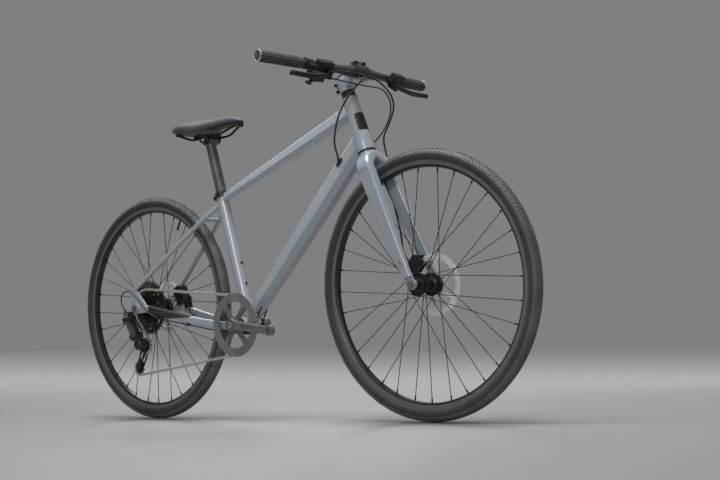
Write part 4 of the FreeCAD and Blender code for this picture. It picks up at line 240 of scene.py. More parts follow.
def gloss_and_relief(tree, grain, rough, strength, height):
    """Links one noise to a finish's roughness, between two values, and to its relief."""
    shader = tree.nodes["Principled BSDF"]
    gloss = tree.nodes.new("ShaderNodeMapRange")
    gloss.inputs["From Min"].default_value = 0.3
    gloss.inputs["From Max"].default_value = 0.7
    gloss.inputs["To Min"].default_value = rough[0]
    gloss.inputs["To Max"].default_value = rough[1]
    lift = tree.nodes.new("ShaderNodeBump")
    lift.inputs["Strength"].default_value = strength
    lift.inputs["Distance"].default_value = height
    tree.links.new(grain, gloss.inputs["Value"])
    tree.links.new(gloss.outputs["Result"], shader.inputs["Roughness"])
    tree.links.new(grain, lift.inputs["Height"])
    tree.links.new(lift.outputs["Normal"], shader.inputs["Normal"])


def finish(name, dark, light, patch, rough, grain, depth, metallic=0.0, coat=0.0, sheen=0.0, specular=0.5):
    """Colour that drifts between two tones over a coarse noise on Object coordinates.

    A finer noise moves the roughness between its two values and lifts the surface a little.
    """
    made = bpy.data.materials.new(name)
    made.use_nodes = True
    tree = made.node_tree
    shader = tree.nodes["Principled BSDF"]
    shader.inputs["Metallic"].default_value = metallic
    shader.inputs["Coat Weight"].default_value = coat
    shader.inputs["Coat Roughness"].default_value = 0.08
    shader.inputs["Sheen Weight"].default_value = sheen
    shader.inputs["Specular IOR Level"].default_value = specular
    place = tree.nodes.new("ShaderNodeTexCoord")
    drift = tree.nodes.new("ShaderNodeTexNoise")
    drift.inputs["Scale"].default_value = patch
    drift.inputs["Detail"].default_value = 5.0
    fine = tree.nodes.new("ShaderNodeTexNoise")
    fine.inputs["Scale"].default_value = grain
    fine.inputs["Detail"].default_value = 3.0
    tree.links.new(place.outputs["Object"], drift.inputs["Vector"])
    tree.links.new(place.outputs["Object"], fine.inputs["Vector"])
    tree.links.new(shade(tree, drift.outputs["Fac"], 0.3, dark, 0.7, light), shader.inputs["Base Color"])
    gloss_and_relief(tree, fine.outputs["Fac"], rough, depth, 0.0004)
    return made


def dress(material, *names):
    """Gives a finish to solids by name."""
    for name in names:
        solids[name].data.materials.clear()
        solids[name].data.materials.append(material)


frame_paint = finish("blue_grey_paint", tone(150, 159, 168), tone(159, 168, 177),
                     3.0, (0.24, 0.32), 700.0, 0.015, coat=0.8)
black_screw = finish("black_screw", tone(24, 24, 25), tone(46, 46, 47),
                     160.0, (0.3, 0.5), 1500.0, 0.1, metallic=0.85)
soft_rubber = finish("black_rubber", tone(30, 31, 32), tone(46, 47, 48), 60.0, (0.62, 0.85), 2600.0, 0.25)
black_alloy = finish("black_anodised_alloy", tone(30, 31, 33), tone(44, 45, 48),
                     26.0, (0.36, 0.5), 3200.0, 0.1, metallic=0.35)
moulded_plastic = finish("black_moulded_plastic", tone(32, 33, 34), tone(42, 43, 44),
                         40.0, (0.45, 0.62), 1900.0, 0.16)
plated_steel = finish("plated_steel", tone(120, 120, 120), tone(178, 177, 174),
                      90.0, (0.25, 0.42), 1800.0, 0.08, metallic=0.95)
dress(frame_paint, "head_tube", "top_tube", "down_tube", "seat_tube", "bottom_bracket_shell", "chainstays",
      "seatstays", "dropouts")
dress(soft_rubber, "chainstay_guard")
dress(black_screw, "bottle_bolts")
dress(moulded_plastic, "cable_guides")
dress(black_alloy, "seat_collar", "bearing_cups")
dress(plated_steel, "rear_axle")


# Head badge
# A plain dark aluminium plate, curved to the front of the head tube and stuck to it. Its corners are
# rounded and its edges thin to nothing.

def place_mesh(name, points, faces):
    """Object at the origin made of an array of points and one of four-cornered faces, turned outwards."""
    mesh = bpy.data.meshes.new(name)
    mesh.from_pydata(points.reshape(-1, 3).tolist(), [], faces.reshape(-1, faces.shape[-1]).tolist())
    shape = bmesh.new()
    shape.from_mesh(mesh)
    bmesh.ops.remove_doubles(shape, verts=shape.verts, dist=1e-7)
    bmesh.ops.dissolve_degenerate(shape, edges=shape.edges, dist=1e-7)
    bmesh.ops.recalc_face_normals(shape, faces=shape.faces)
    shape.to_mesh(mesh)
    shape.free()
    mesh.polygons.foreach_set("use_smooth", np.ones(len(mesh.polygons), bool))
    piece = bpy.data.objects.new(name, mesh)
    bpy.context.scene.collection.objects.link(piece)
    return piece


def grid_faces(rows, columns, wrap_rows=False, wrap_columns=False):
    """Corner numbers of a grid's cells; where it wraps, its last row or column joins its first."""
    r = np.arange(rows if wrap_rows else rows - 1)
    c = np.arange(columns if wrap_columns else columns - 1)
    r, c = np.meshgrid(r, c, indexing="ij")
    r_next = (r + 1) % rows
    c_next = (c + 1) % columns
    corners = [r * columns + c, r_next * columns + c, r_next * columns + c_next, r * columns + c_next]
    return np.stack(corners, -1)


head_angle = np.radians(71.8)
head_up = np.array([-np.cos(head_angle), 0.0, np.sin(head_angle)])
head_front = np.array([np.sin(head_angle), 0.0, np.cos(head_angle)])
steer_foot = np.array([0.5475, 0.0, 0.349]) - head_front * 0.050
head_low = 0.4033
head_length = 0.1585
head_shares = [0.14, 0.45, 0.8, 1.0]
head_radii = [0.026, 0.0225, 0.0215, 0.0215]
badge_half_angle = np.radians(60.0)
badge_middle = 0.51
badge_half_share = 0.165
badge_gap = 0.0001
badge_thick = 0.0007
badge_steps = 41


def badge_surface(lifted):
    """Part of a cone: the angle round the head tube and the height up it vary over the grid.

    The corners are rounded as a superellipse, and the plate thins to nothing at its edge.
    """
    step = np.linspace(-1, 1, badge_steps)
    u, v = np.meshgrid(step, step, indexing="ij")
    reach = (np.abs(u) ** 8 + np.abs(v) ** 8) ** 0.125
    square = np.maximum(np.maximum(np.abs(u), np.abs(v)), 1e-9)
    u, v = u * square / np.maximum(reach, 1e-9), v * square / np.maximum(reach, 1e-9)
    share = badge_middle + badge_half_share * v
    radius = np.interp(share, head_shares, head_radii)
    radius = radius + badge_gap + lifted * badge_thick * (1 - square ** 12)
    angle = badge_half_angle * u
    out = np.cos(angle)[..., None] * head_front + np.sin(angle)[..., None] * np.array([0.0, 1.0, 0.0])
    return steer_foot + head_up * (head_low + head_length * share)[..., None] + out * radius[..., None]


badge_points = np.stack([badge_surface(0.0)[::-1], badge_surface(1.0)])
badge_cells = grid_faces(badge_steps, badge_steps)
badge_faces = np.concatenate([badge_cells, badge_cells + badge_steps ** 2])
head_badge = place_mesh("head_badge", badge_points, badge_faces)
badge_finish = finish("badge_dark_plate", tone(38, 39, 41), tone(50, 51, 53),
                      50.0, (0.3, 0.4), 2400.0, 0.05, metallic=0.5)
head_badge.data.materials.append(badge_finish)
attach(head_badge, "frame")


# Fork
# Rigid aluminium fork: a formed crown over two tapered blades with flat flanks, painted with the
# frame. Its steerer turns in the head tube, and its ends hold the front axle.
dress(frame_paint, "fork_steerer", "fork_blades")
dress(plated_steel, "front_axle")


# Wheels
# Double-wall aluminium rims in satin dark grey, thirty-two black steel spokes to black hubs, and
# drilled stainless brake discs screwed to the hubs' left ends.

def turned_finish(name, centre, dark, light, rough, lines, depth, metallic):
    """Finish of a part made on a lathe: roughness and relief follow a noise of the distance from its axle."""
    made = finish(name, dark, light, 30.0, rough, 1800.0, depth, metallic=metallic)
    tree = made.node_tree
    place = tree.nodes.new("ShaderNodeTexCoord")
    shift = tree.nodes.new("ShaderNodeVectorMath")
    shift.operation = "SUBTRACT"
    shift.inputs[1].default_value = centre
    flat = tree.nodes.new("ShaderNodeVectorMath")
    flat.operation = "MULTIPLY"
    flat.inputs[1].default_value = (1.0, 0.0, 1.0)
    reach = tree.nodes.new("ShaderNodeVectorMath")
    reach.operation = "LENGTH"
    ring = tree.nodes.new("ShaderNodeTexNoise")
    ring.noise_dimensions = "1D"
    ring.inputs["Scale"].default_value = lines
    ring.inputs["Detail"].default_value = 4.0
    tree.links.new(place.outputs["Object"], shift.inputs[0])
    tree.links.new(shift.outputs[0], flat.inputs[0])
    tree.links.new(flat.outputs[0], reach.inputs[0])
    tree.links.new(reach.outputs["Value"], ring.inputs["W"])
    gloss_and_relief(tree, ring.outputs["Fac"], rough, depth, 0.0002)
    return made


def second_tone(made, way, level, blend, dark, light):
    """Gives a finish a second pair of tones where the distance along a direction passes a level."""
    tree = made.node_tree
    shader = tree.nodes["Principled BSDF"]
    plain = shader.inputs["Base Color"].links[0].from_socket
    drift = [link.from_socket for link in tree.links if link.to_node.type == "VALTORGB"][0]
    other = shade(tree, drift, 0.0, dark, 1.0, light)
    place = tree.nodes.new("ShaderNodeTexCoord")
    reach = along_way(tree, place.outputs["Object"], way)
    past = tree.nodes.new("ShaderNodeMapRange")
    past.inputs["From Min"].default_value = level
    past.inputs["From Max"].default_value = level + blend
    mix = tree.nodes.new("ShaderNodeMix")
    mix.data_type = "RGBA"
    tree.links.new(reckon(tree, "ABSOLUTE", reach, 0.0), past.inputs["Value"])
    tree.links.new(past.outputs["Result"], mix.inputs[0])
    tree.links.new(plain, mix.inputs[6])
    tree.links.new(other, mix.inputs[7])
    tree.links.new(mix.outputs[2], shader.inputs["Base Color"])
    return made


black_spoke = finish("black_spoke_steel", tone(20, 20, 21), tone(34, 34, 35),
                     60.0, (0.28, 0.4), 1200.0, 0.04, metallic=0.6)
front_axle = np.array([0.5475, 0.0, 0.349])
rear_axle = np.array([-0.5475, 0.0, 0.349])
wheels = (("front", front_axle), ("rear", rear_axle))
rim_wall_side = 0.0104
rim_wall_blend = 0.0012
for wheel, axle in wheels:
    rim_alloy = turned_finish(wheel + "_rim_alloy", axle, tone(30, 30, 32), tone(42, 42, 44),
                              (0.3, 0.42), 900.0, 0.12, 0.3)
    second_tone(rim_alloy, (0, 1, 0), rim_wall_side, rim_wall_blend, tone(98, 98, 100), tone(118, 118, 120))
    disc_steel = turned_finish(wheel + "_disc_steel", axle, tone(222, 221, 218), tone(246, 245, 242),
                               (0.24, 0.4), 1600.0, 0.2, 0.15)
    hub_alloy = turned_finish(wheel + "_hub_alloy", axle, tone(30, 30, 32), tone(44, 44, 46),
                              (0.3, 0.44), 1200.0, 0.1, 0.5)
    dress(rim_alloy, wheel + "_rim")
    dress(disc_steel, wheel + "_rotor")
    dress(hub_alloy, wheel + "_hub")
    dress(black_spoke, wheel + "_spokes")


# Tyres
# Black rubber over a nylon casing, 38 mm wide. The crown has rows of small slanted file-cut blocks,
# the shoulders have larger square ones, and fine ribs run round the bare sidewalls.
tyre_mid = 0.330
casing_radius = 0.0175
lip_radius = 0.3176
bead_half = 0.0099
bead_low = 0.3106
bead_wall = 0.0032
inside_radius = 0.0158
rib_angles = (1.50, 1.72, 1.94, 2.16)
rib_half_angle = 0.022
rib_height = 0.00022
block_root = 0.0005
block_taper = 0.22
casing_steps = 240
tread_edge = 1.3


def tyre_casing(axle, steps):
    """Closed tyre section carried round the axle: outer arc, beads and inner arc, at each angle."""
    edge = np.arccos((lip_radius - tyre_mid) / casing_radius)
    phi = np.linspace(-edge, edge, 97)
    ribs = sum(np.exp(-((np.abs(phi) - at) / rib_half_angle) ** 2) for at in rib_angles)
    rad = casing_radius + rib_height * ribs
    outer = np.column_stack([tyre_mid + rad * np.cos(phi), rad * np.sin(phi)])
    turn_in = np.arccos((bead_half - bead_wall) / inside_radius)
    inner_edge = np.pi / 2 + turn_in
    psi = np.linspace(inner_edge, -inner_edge, 33)
    inner = np.column_stack([tyre_mid + inside_radius * np.cos(psi), inside_radius * np.sin(psi)])
    right = np.array([[lip_radius, bead_half], [bead_low, bead_half], [bead_low, bead_half - bead_wall]])
    left = right[::-1] * np.array([1.0, -1.0])
    section = np.concatenate([outer, right, inner, left])
    theta = np.linspace(0, 2 * np.pi, steps, endpoint=False)[:, None]
    radius = section[None, :, 0]
    points = np.stack([radius * np.cos(theta), np.broadcast_to(section[None, :, 1], (steps, len(section))),
                       radius * np.sin(theta)], -1)
    return axle + points, grid_faces(steps, len(section), True, True)


def tread_row(axle, phi, width, length, skew, count, phase, height):
    """Tread blocks in a row round the tyre: eight corners each, by angle across, angle round and height.

    Width goes across the tyre and length round it; the skew slides the block's far side round.
    """
    side = np.array([-1, -1, 1, 1, -1, -1, 1, 1]) * 0.5
    along = np.array([-1, 1, 1, -1, -1, 1, 1, -1]) * 0.5
    top = np.array([0, 0, 0, 0, 1, 1, 1, 1])
    shrink = 1.0 - block_taper * top
    across = phi + side * shrink * width / casing_radius
    theta = 2 * np.pi * (np.arange(count)[:, None] + phase) / count
    theta = theta + (along * shrink * length + side * skew) / (tyre_mid + casing_radius)
    rad = casing_radius - block_root + top * (height + block_root)
    radius = tyre_mid + rad * np.cos(across)
    lateral = np.broadcast_to(rad * np.sin(across), theta.shape)
    points = np.stack([radius * np.cos(theta), lateral, radius * np.sin(theta)], -1)
    sides = np.array([[0, 1, 2, 3], [4, 5, 6, 7], [0, 1, 5, 4], [1, 2, 6, 5], [2, 3, 7, 6], [3, 0, 4, 7]])
    faces = sides[None] + 8 * np.arange(count)[:, None, None]
    return axle + points, faces


# Each row: angle across, width, length, skew, count, phase and height of its blocks.
tread_rows = []
for side in (-1, 1):
    tread_rows += [(side * 0.13, 0.0036, 0.0050, side * 0.0030, 264, 0.0, 0.0011),
                   (side * 0.37, 0.0034, 0.0052, side * 0.0030, 264, 0.5, 0.0012),
                   (side * 0.62, 0.0040, 0.0056, side * 0.0024, 220, 0.0, 0.0013),
                   (side * 0.92, 0.0048, 0.0062, 0.0, 176, 0.5, 0.0014),
                   (side * 1.20, 0.0034, 0.0046, 0.0, 176, 0.0, 0.0010)]
tyre_rubber = finish("tyre_rubber", tone(46, 47, 49), tone(58, 59, 61), 14.0, (0.5, 0.7), 2200.0, 0.3)
# The tread's lighter grey is painted light, standing for the lamps' sheen on the crown of the same black
# rubber.
tread_painted_light_rubber = finish("tread_painted_light_rubber", tone(82, 83, 86), tone(106, 107, 110), 14.0, (0.5, 0.7), 2200.0, 0.3)
for wheel, axle in wheels:
    points, faces = tyre_casing(axle, casing_steps)
    points, faces = points.reshape(-1, 3), faces.reshape(-1, 4)
    for row in tread_rows:
        block_points, block_faces = tread_row(axle, *row)
        faces = np.concatenate([faces, block_faces.reshape(-1, 4) + len(points)])
        points = np.concatenate([points, block_points.reshape(-1, 3)])
    tyre = place_mesh(wheel + "_tread_tyre", points, faces)
    tyre.data.set_sharp_from_angle(angle=np.radians(38.0))
    tyre.data.materials.append(tyre_rubber)
    tyre.data.materials.append(tread_painted_light_rubber)
    # Faces near the crown, the tread blocks among them, take the lighter grey: painted light for the lamps'
    # sheen on the tread.
    middles = np.zeros(len(tyre.data.polygons) * 3)
    tyre.data.polygons.foreach_get("center", middles)
    middles = middles.reshape(-1, 3) - axle
    across = np.arctan2(np.abs(middles[:, 1]), np.hypot(middles[:, 0], middles[:, 2]) - tyre_mid)
    tyre.data.polygons.foreach_set("material_index", (across < tread_edge).astype(np.int32))
    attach(tyre, wheel + "_wheel")
    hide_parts(wheel + "_tyre")


# Drive
# Forged grey cranks with a spider and a flat guard ring round the toothed ring, a plated chain with
# pale links, a stepped steel cassette and a black derailleur with a grey outer link.
crank_alloy = finish("satin_grey_crank", tone(104, 103, 102), tone(126, 124, 122),
                     22.0, (0.3, 0.42), 2600.0, 0.08, metallic=0.4)
dress(crank_alloy, "crank_arm_right", "crank_arm_left")
crank_axis = (-0.1205, 0.0, 0.277)
ring_alloy = turned_finish("ring_grey_alloy", crank_axis, tone(116, 115, 115), tone(136, 135, 134),
                           (0.34, 0.48), 900.0, 0.1, 0.35)
dress(ring_alloy, "chainring")
chain_steel = finish("pale_chain_plate", tone(178, 171, 156), tone(222, 215, 200),
                     420.0, (0.26, 0.44), 1600.0, 0.1, metallic=0.55)
dress(chain_steel, "chain")
cassette_steel = turned_finish("cassette_steel", rear_axle, tone(60, 59, 58), tone(104, 102, 99),
                               (0.26, 0.42), 700.0, 0.12, 0.9)
dress(cassette_steel, "cassette")
link_grey = finish("derailleur_grey_link", tone(78, 80, 84), tone(92, 94, 98),
                   60.0, (0.34, 0.46), 2400.0, 0.08, metallic=0.4)
dress(link_grey, "derailleur_outer_link")
dress(black_alloy, "derailleur_knuckle", "derailleur_inner_link", "derailleur_cage")
dress(moulded_plastic, "derailleur_carrier", "guide_pulley", "tension_pulley")


def unit(way):
    """Direction of length one."""
    return np.array(way) / np.linalg.norm(way)


def washer_surface(centre, axis, inner, outer, thick):
    """Flat ring about an axis: a square section with rounded corners, at each angle of the turn."""
    rounds, corners, squareness = 64, 24, 0.4
    t = np.linspace(0, 2 * np.pi, corners, endpoint=False)
    phi = np.linspace(0, 2 * np.pi, rounds, endpoint=False)[:, None]
    across = np.sign(np.cos(t)) * np.abs(np.cos(t)) ** squareness
    radius = 0.5 * (inner + outer) + 0.5 * (outer - inner) * across
    height = 0.5 * thick * np.sign(np.sin(t)) * np.abs(np.sin(t)) ** squareness
    axis = unit(axis)
    n1 = unit(np.cross(axis, np.array([0.0, 0.0, 1.0])))
    n2 = np.cross(axis, n1)
    around = np.cos(phi)[..., None] * n1 + np.sin(phi)[..., None] * n2
    points = np.array(centre) + around * radius[:, None] + axis * height[:, None]
    return points, grid_faces(rounds, corners, True, True)


bright_alloy = finish("bright_alloy", tone(176, 176, 175), tone(216, 216, 214),
                      120.0, (0.22, 0.36), 1500.0, 0.06, metallic=0.7)
# Each washer's sizes: inner radius, outer radius and thickness.
crank_cap_side = 0.0727
crank_cap_sizes = (0.0048, 0.0082, 0.0008)
for name, side in (("right_crank_cap", -1.0), ("left_crank_cap", 1.0)):
    cap_place = np.array(crank_axis) + np.array([0.0, side * crank_cap_side, 0.0])
    cap = place_mesh(name, *washer_surface(cap_place, (0, side, 0), *crank_cap_sizes))
    cap.data.materials.append(bright_alloy)
    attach(cap, "crankset")
hanger_eye = rear_axle + np.array([-0.0205, -0.0994, -0.021])
hanger_ring_sizes = (0.0047, 0.0076, 0.0008)
hanger_surface = washer_surface(hanger_eye, (0, -1, 0), *hanger_ring_sizes)
hanger_ring = place_mesh("derailleur_bolt_ring", *hanger_surface)
hanger_ring.data.materials.append(bright_alloy)
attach(hanger_ring, "frame")


# Brakes
# Two-piston black calipers, one behind the left fork blade and one above the left chainstay, with
# lever bodies and levers of the same black alloy on the bar.
dress(black_alloy, "rear_caliper", "front_caliper", "brake_bodies", "brake_lever_right", "brake_lever_left")


# Cockpit
# A black aluminium bar, swept back, held by a short painted stem with a black face and black
# screws. The shifter hangs under the right side of the bar.
bar_middle = np.array([0.36074, 0.0, 0.93304])
bar_alloy = finish("satin_bar_alloy", tone(60, 61, 62), tone(78, 79, 80),
                   26.0, (0.34, 0.46), 3000.0, 0.08, metallic=0.3)
dress(bar_alloy, "handlebar")
dress(black_alloy, "headset_spacers")
stem_paint = frame_paint.copy()
stem_paint.name = "stem_paint_and_black_face"
stem_split_gap = 0.0007
stem_face = float(np.dot(bar_middle, head_front)) + stem_split_gap
stem_face_blend = 0.0001
second_tone(stem_paint, head_front, stem_face, stem_face_blend, tone(26, 26, 28), tone(44, 44, 46))
dress(stem_paint, "stem")
dress(black_screw, "cockpit_bolts")
dress(moulded_plastic, "shifter_body", "shift_lever_main", "shift_lever_release")


# Grips
# Soft rubber sleeves pushed on the bar, with a fine lozenge pattern, a low collar at the inner end
# and a smooth rounded outer end inside a pale clamp ring.
bar_straight = 0.040
bar_back_sweep = np.radians(9.0)
bar_up_sweep = np.radians(2.0)
bar_out = unit([-np.tan(bar_back_sweep), 1.0, np.tan(bar_up_sweep)])
grip_start = 0.1955
grip_end = 0.3290
grip_radius = 0.0145
grip_bore = 0.0113
lozenge_count = 7
lozenge_pitch = 0.0160
lozenge_height = 0.0010
collar_height = 0.0007
clamp_height = 0.0003
grip_ring_side = 0.3285
grip_ring_sizes = (0.0128, 0.0158, 0.0036)


def along_bar(side):
    """Point of the left arm of the bar at a distance from the bicycle's middle plane."""
    return bar_middle + np.array([0, bar_straight, 0]) + bar_out * ((side - bar_straight) / bar_out[1])


def grip_surface(side):
    """Sleeve round the bar: its radius varies with the angle round the bar and the distance along it.

    The lozenges are the product of two slanted cosine waves; both fade out at the collar and the end.
    """
    rounds, lengths = 168, 190
    s = np.linspace(0.0, 1.0, lengths)[:, None]
    phi = np.linspace(0, 2 * np.pi, rounds, endpoint=False)[None, :]
    run = (grip_end - grip_start) / bar_out[1]
    turns = lozenge_count * phi
    slant = 2 * np.pi * s * run / lozenge_pitch
    wave = np.cos(turns + slant) * np.cos(turns - slant)
    held = np.clip((s - 0.05) / 0.03, 0, 1) * np.clip((0.955 - s) / 0.02, 0, 1)
    radius = grip_radius + lozenge_height * held * np.clip(wave * 3.0, -1, 1)
    radius = radius + collar_height * np.exp(-((s - 0.02) / 0.018) ** 2)
    radius = radius + clamp_height * np.clip((s - 0.95) / 0.01, 0, 1)
    outer_end = np.clip((s - 0.97) / 0.03, 0, 1)
    radius = radius * np.sqrt(np.clip(1 - (0.62 * outer_end) ** 4, 0, 1))
    bore = np.full((1, rounds), grip_bore)
    cap = np.full((1, rounds), 0.0)
    radius = np.concatenate([bore, radius, radius[-1:] * 0.72, radius[-1:] * 0.36, cap])
    along = np.concatenate([[[0.0]], s * run, np.full((3, 1), run + 0.0008)])
    n1 = unit(np.cross(bar_out, np.array([0.0, 0.0, 1.0])))
    n2 = np.cross(n1, bar_out)
    around = np.cos(phi[0])[:, None] * n1 + np.sin(phi[0])[:, None] * n2
    start = along_bar(grip_start)
    points = start + bar_out * along[..., None] + radius[..., None] * around
    bore_end = start + bar_out * (run - 0.004)
    tube = np.stack([start + bar_out * 0.001 + grip_bore * around, bore_end + grip_bore * around,
                     np.broadcast_to(bore_end, (rounds, 3))])
    points = np.concatenate([tube[::-1], points])
    points = points * np.array([1.0, side, 1.0])
    return points, grid_faces(len(points), rounds, False, True)


grip_rubber = finish("grip_rubber", tone(58, 58, 59), tone(74, 74, 75), 40.0, (0.6, 0.8), 2400.0, 0.2)
ring_place = along_bar(grip_ring_side)
for name, side in (("left_grip_ring", 1.0), ("right_grip_ring", -1.0)):
    flip = np.array([1.0, side, 1.0])
    ring = place_mesh(name, *washer_surface(ring_place * flip, bar_out * flip, *grip_ring_sizes))
    ring.data.materials.append(bright_alloy)
    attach(ring, "fork")
for name, side in (("left_grip_sleeve", 1), ("right_grip_sleeve", -1)):
    grip = place_mesh(name, *grip_surface(side))
    grip.data.materials.append(grip_rubber)
    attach(grip, "fork")
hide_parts("grips")


# Hoses and housing
# Black plastic brake hoses and gear housing. They leave the controls in open loops; the rear hose and
# the housing go into the down tube and come out under the crank, the front hose goes down the fork.
rear_hose_route = [
    (0.3713, 0.1033, 0.9220), (0.3744, 0.0836, 0.9213), (0.3855, 0.0495, 0.9206),
    (0.3880, 0.0000, 0.9190), (0.3700, -0.0300, 0.8860), (0.3480, -0.0460, 0.8530),
    (0.3200, -0.0500, 0.8105), (0.3050, -0.0480, 0.7670), (0.2960, -0.0420, 0.7416),
    (0.2896, -0.0170, 0.6973), (0.2592, -0.0090, 0.6540), (-0.0162, 0.0100, 0.3849),
    (-0.0563, 0.0140, 0.3113), (-0.0880, 0.0150, 0.2620), (-0.1255, 0.0170, 0.2490),
    (-0.2150, 0.0355, 0.2620), (-0.3300, 0.0500, 0.2850), (-0.3885, 0.0500, 0.2995),
    (-0.4225, 0.0465, 0.3170), (-0.4434, 0.0520, 0.3352), (-0.4529, 0.0520, 0.3550)]
front_hose_route = [
    (0.3713, -0.1033, 0.9220), (0.3744, -0.0836, 0.9213), (0.3897, -0.0502, 0.9202),
    (0.3980, 0.0100, 0.9140), (0.4120, 0.0300, 0.8990), (0.4310, 0.0460, 0.8680),
    (0.4320, 0.0560, 0.8380), (0.4210, 0.0600, 0.8150), (0.4040, 0.0600, 0.7860),
    (0.3840, 0.0570, 0.7570), (0.3899, 0.0615, 0.7130), (0.3979, 0.0645, 0.6630),
    (0.4035, 0.0635, 0.6174), (0.4115, 0.0560, 0.5674), (0.4374, 0.0480, 0.4918),
    (0.4464, 0.0395, 0.4312), (0.4678, 0.0395, 0.4132)]
housing_route = [
    (0.3373, -0.1065, 0.9109), (0.3410, -0.0828, 0.9100), (0.3677, -0.0505, 0.8984),
    (0.3960, 0.0040, 0.8880), (0.4180, 0.0270, 0.8830), (0.4285, 0.0410, 0.8580),
    (0.4270, 0.0490, 0.8320), (0.4160, 0.0530, 0.8060), (0.3970, 0.0540, 0.7790),
    (0.3660, 0.0500, 0.7500), (0.3250, 0.0380, 0.7200), (0.2896, 0.0170, 0.6973),
    (0.2661, 0.0090, 0.6468), (-0.0092, -0.0100, 0.3777), (-0.0563, -0.0140, 0.3113),
    (-0.0880, -0.0150, 0.2620), (-0.1255, -0.0170, 0.2490), (-0.2150, -0.0355, 0.2630),
    (-0.3300, -0.0500, 0.2855), (-0.4385, -0.0635, 0.3085), (-0.4685, -0.0755, 0.3195),
    (-0.4925, -0.0825, 0.3400), (-0.5195, -0.0860, 0.3710), (-0.5455, -0.0875, 0.3930),
    (-0.5685, -0.0885, 0.4035), (-0.5905, -0.0890, 0.4010), (-0.6040, -0.0900, 0.3840),
    (-0.6015, -0.0900, 0.3620), (-0.5852, -0.0900, 0.3442)]


def read_points(mesh):
    """Points of a mesh as an array."""
    flat = np.zeros(len(mesh.vertices) * 3)
    mesh.vertices.foreach_get("co", flat)
    return flat.reshape(-1, 3)


def smooth_line(route):
    """Points of a NURBS line whose control points are the route."""
    data = bpy.data.curves.new("route", "CURVE")
    data.dimensions = "3D"
    spline = data.splines.new("NURBS")
    spline.points.add(len(route) - 1)
    spline.points.foreach_set("co", np.column_stack([np.array(route), np.ones(len(route))]).ravel())
    spline.order_u = 3
    spline.use_endpoint_u = True
    spline.resolution_u = 10
    holder = bpy.data.objects.new("route", data)
    bpy.context.scene.collection.objects.link(holder)
    bpy.context.view_layer.update()
    mesh = bpy.data.meshes.new_from_object(holder)
    points = read_points(mesh)
    bpy.data.objects.remove(holder)
    bpy.data.meshes.remove(mesh)
    return points


def tube_along(line, radius, sides=14):
    """Round section carried along a line, square to it, with both ends closed.

    The section's first direction is square to the line and to one fixed direction that the line never takes.
    """
    along = np.gradient(line, axis=0)
    along = along / np.linalg.norm(along, axis=1)[:, None]
    ways = np.random.default_rng(4).normal(size=(60, 3))
    ways = ways / np.linalg.norm(ways, axis=1)[:, None]
    fixed = ways[np.argmin(np.abs(ways @ along.T).max(axis=1))]
    n1 = np.cross(along, fixed)
    n1 = n1 / np.linalg.norm(n1, axis=1)[:, None]
    n2 = np.cross(along, n1)
    phi = np.linspace(0, 2 * np.pi, sides, endpoint=False)
    ring = np.cos(phi)[None, :, None] * n1[:, None] + np.sin(phi)[None, :, None] * n2[:, None]
    ends = np.concatenate([[0.0], np.full(len(line), radius), [0.0]])
    middle = np.concatenate([line[:1], line, line[-1:]])
    ring = np.concatenate([ring[:1], ring, ring[-1:]])
    points = middle[:, None] + ring * ends[:, None, None]
    return points, grid_faces(len(points), sides, False, True)


hose_radius = 0.0025
housing_radius = 0.0020
hose_skin = finish("hose_black_skin", tone(26, 26, 27), tone(36, 36, 37), 70.0, (0.4, 0.55), 1600.0, 0.1)
rear_hose = place_mesh("rear_brake_line", *tube_along(smooth_line(rear_hose_route), hose_radius))
rear_hose.data.materials.append(hose_skin)
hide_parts("rear_brake_hose")
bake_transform(rear_hose)
shift_line = place_mesh("shift_line", *tube_along(smooth_line(housing_route), housing_radius))
shift_line.data.materials.append(hose_skin)
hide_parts("shift_housing")
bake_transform(shift_line)
front_hose = place_mesh("front_brake_line", *tube_along(smooth_line(front_hose_route), hose_radius))
front_hose.data.materials.append(hose_skin)
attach(front_hose, "fork")
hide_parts("front_brake_hose")


# Seatpost and saddle
# A satin aluminium post with a two-screw clamp on black rails. The saddle is foam on a plastic
# shell, under a tight synthetic cover that hangs over the shell's edge as a skirt.
post_alloy = finish("satin_post_alloy", tone(72, 75, 79), tone(88, 91, 96),
                    26.0, (0.32, 0.44), 2800.0, 0.06, metallic=0.3)
dress(post_alloy, "seatpost")
dress(black_alloy, "saddle_clamp")
dress(black_screw, "saddle_rails")
dress(moulded_plastic, "saddle_shell")
clamp_x = -0.25033
clamp_z = 0.84546
clamp_screw_side = 0.0303
clamp_screw_drop = 0.0075
clamp_screw_sizes = (0.0016, 0.0046, 0.0030)
for name, side in (("right_clamp_screw", -1.0), ("left_clamp_screw", 1.0)):
    screw_place = (clamp_x, side * clamp_screw_side, clamp_z - clamp_screw_drop)
    screw = place_mesh(name, *washer_surface(screw_place, (0, side, 0), *clamp_screw_sizes))
    screw.data.materials.append(bright_alloy)
    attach(screw, "saddle_clamp")
pad_floor = 0.87256
# Stations along the saddle: distance before the clamp, half width, height and skirt.
pad_stations = np.array([
    (-0.1262, 0.014, 0.010, 0.0006), (-0.1250, 0.030, 0.0180, 0.0008), (-0.121, 0.047, 0.0248, 0.0010),
    (-0.103, 0.0655, 0.0288, 0.0025), (-0.076, 0.0735, 0.0284, 0.0100), (-0.042, 0.0645, 0.0260, 0.0188),
    (-0.004, 0.0435, 0.0256, 0.0106), (0.045, 0.0280, 0.0262, 0.0030), (0.095, 0.0213, 0.0250, 0.0006),
    (0.120, 0.0185, 0.0220, 0.0004), (0.135, 0.0155, 0.0168, 0.0006), (0.144, 0.0118, 0.0112, 0.0008),
    (0.1476, 0.0075, 0.0066, 0.0008), (0.1480, 0.003, 0.004, 0.0006)])
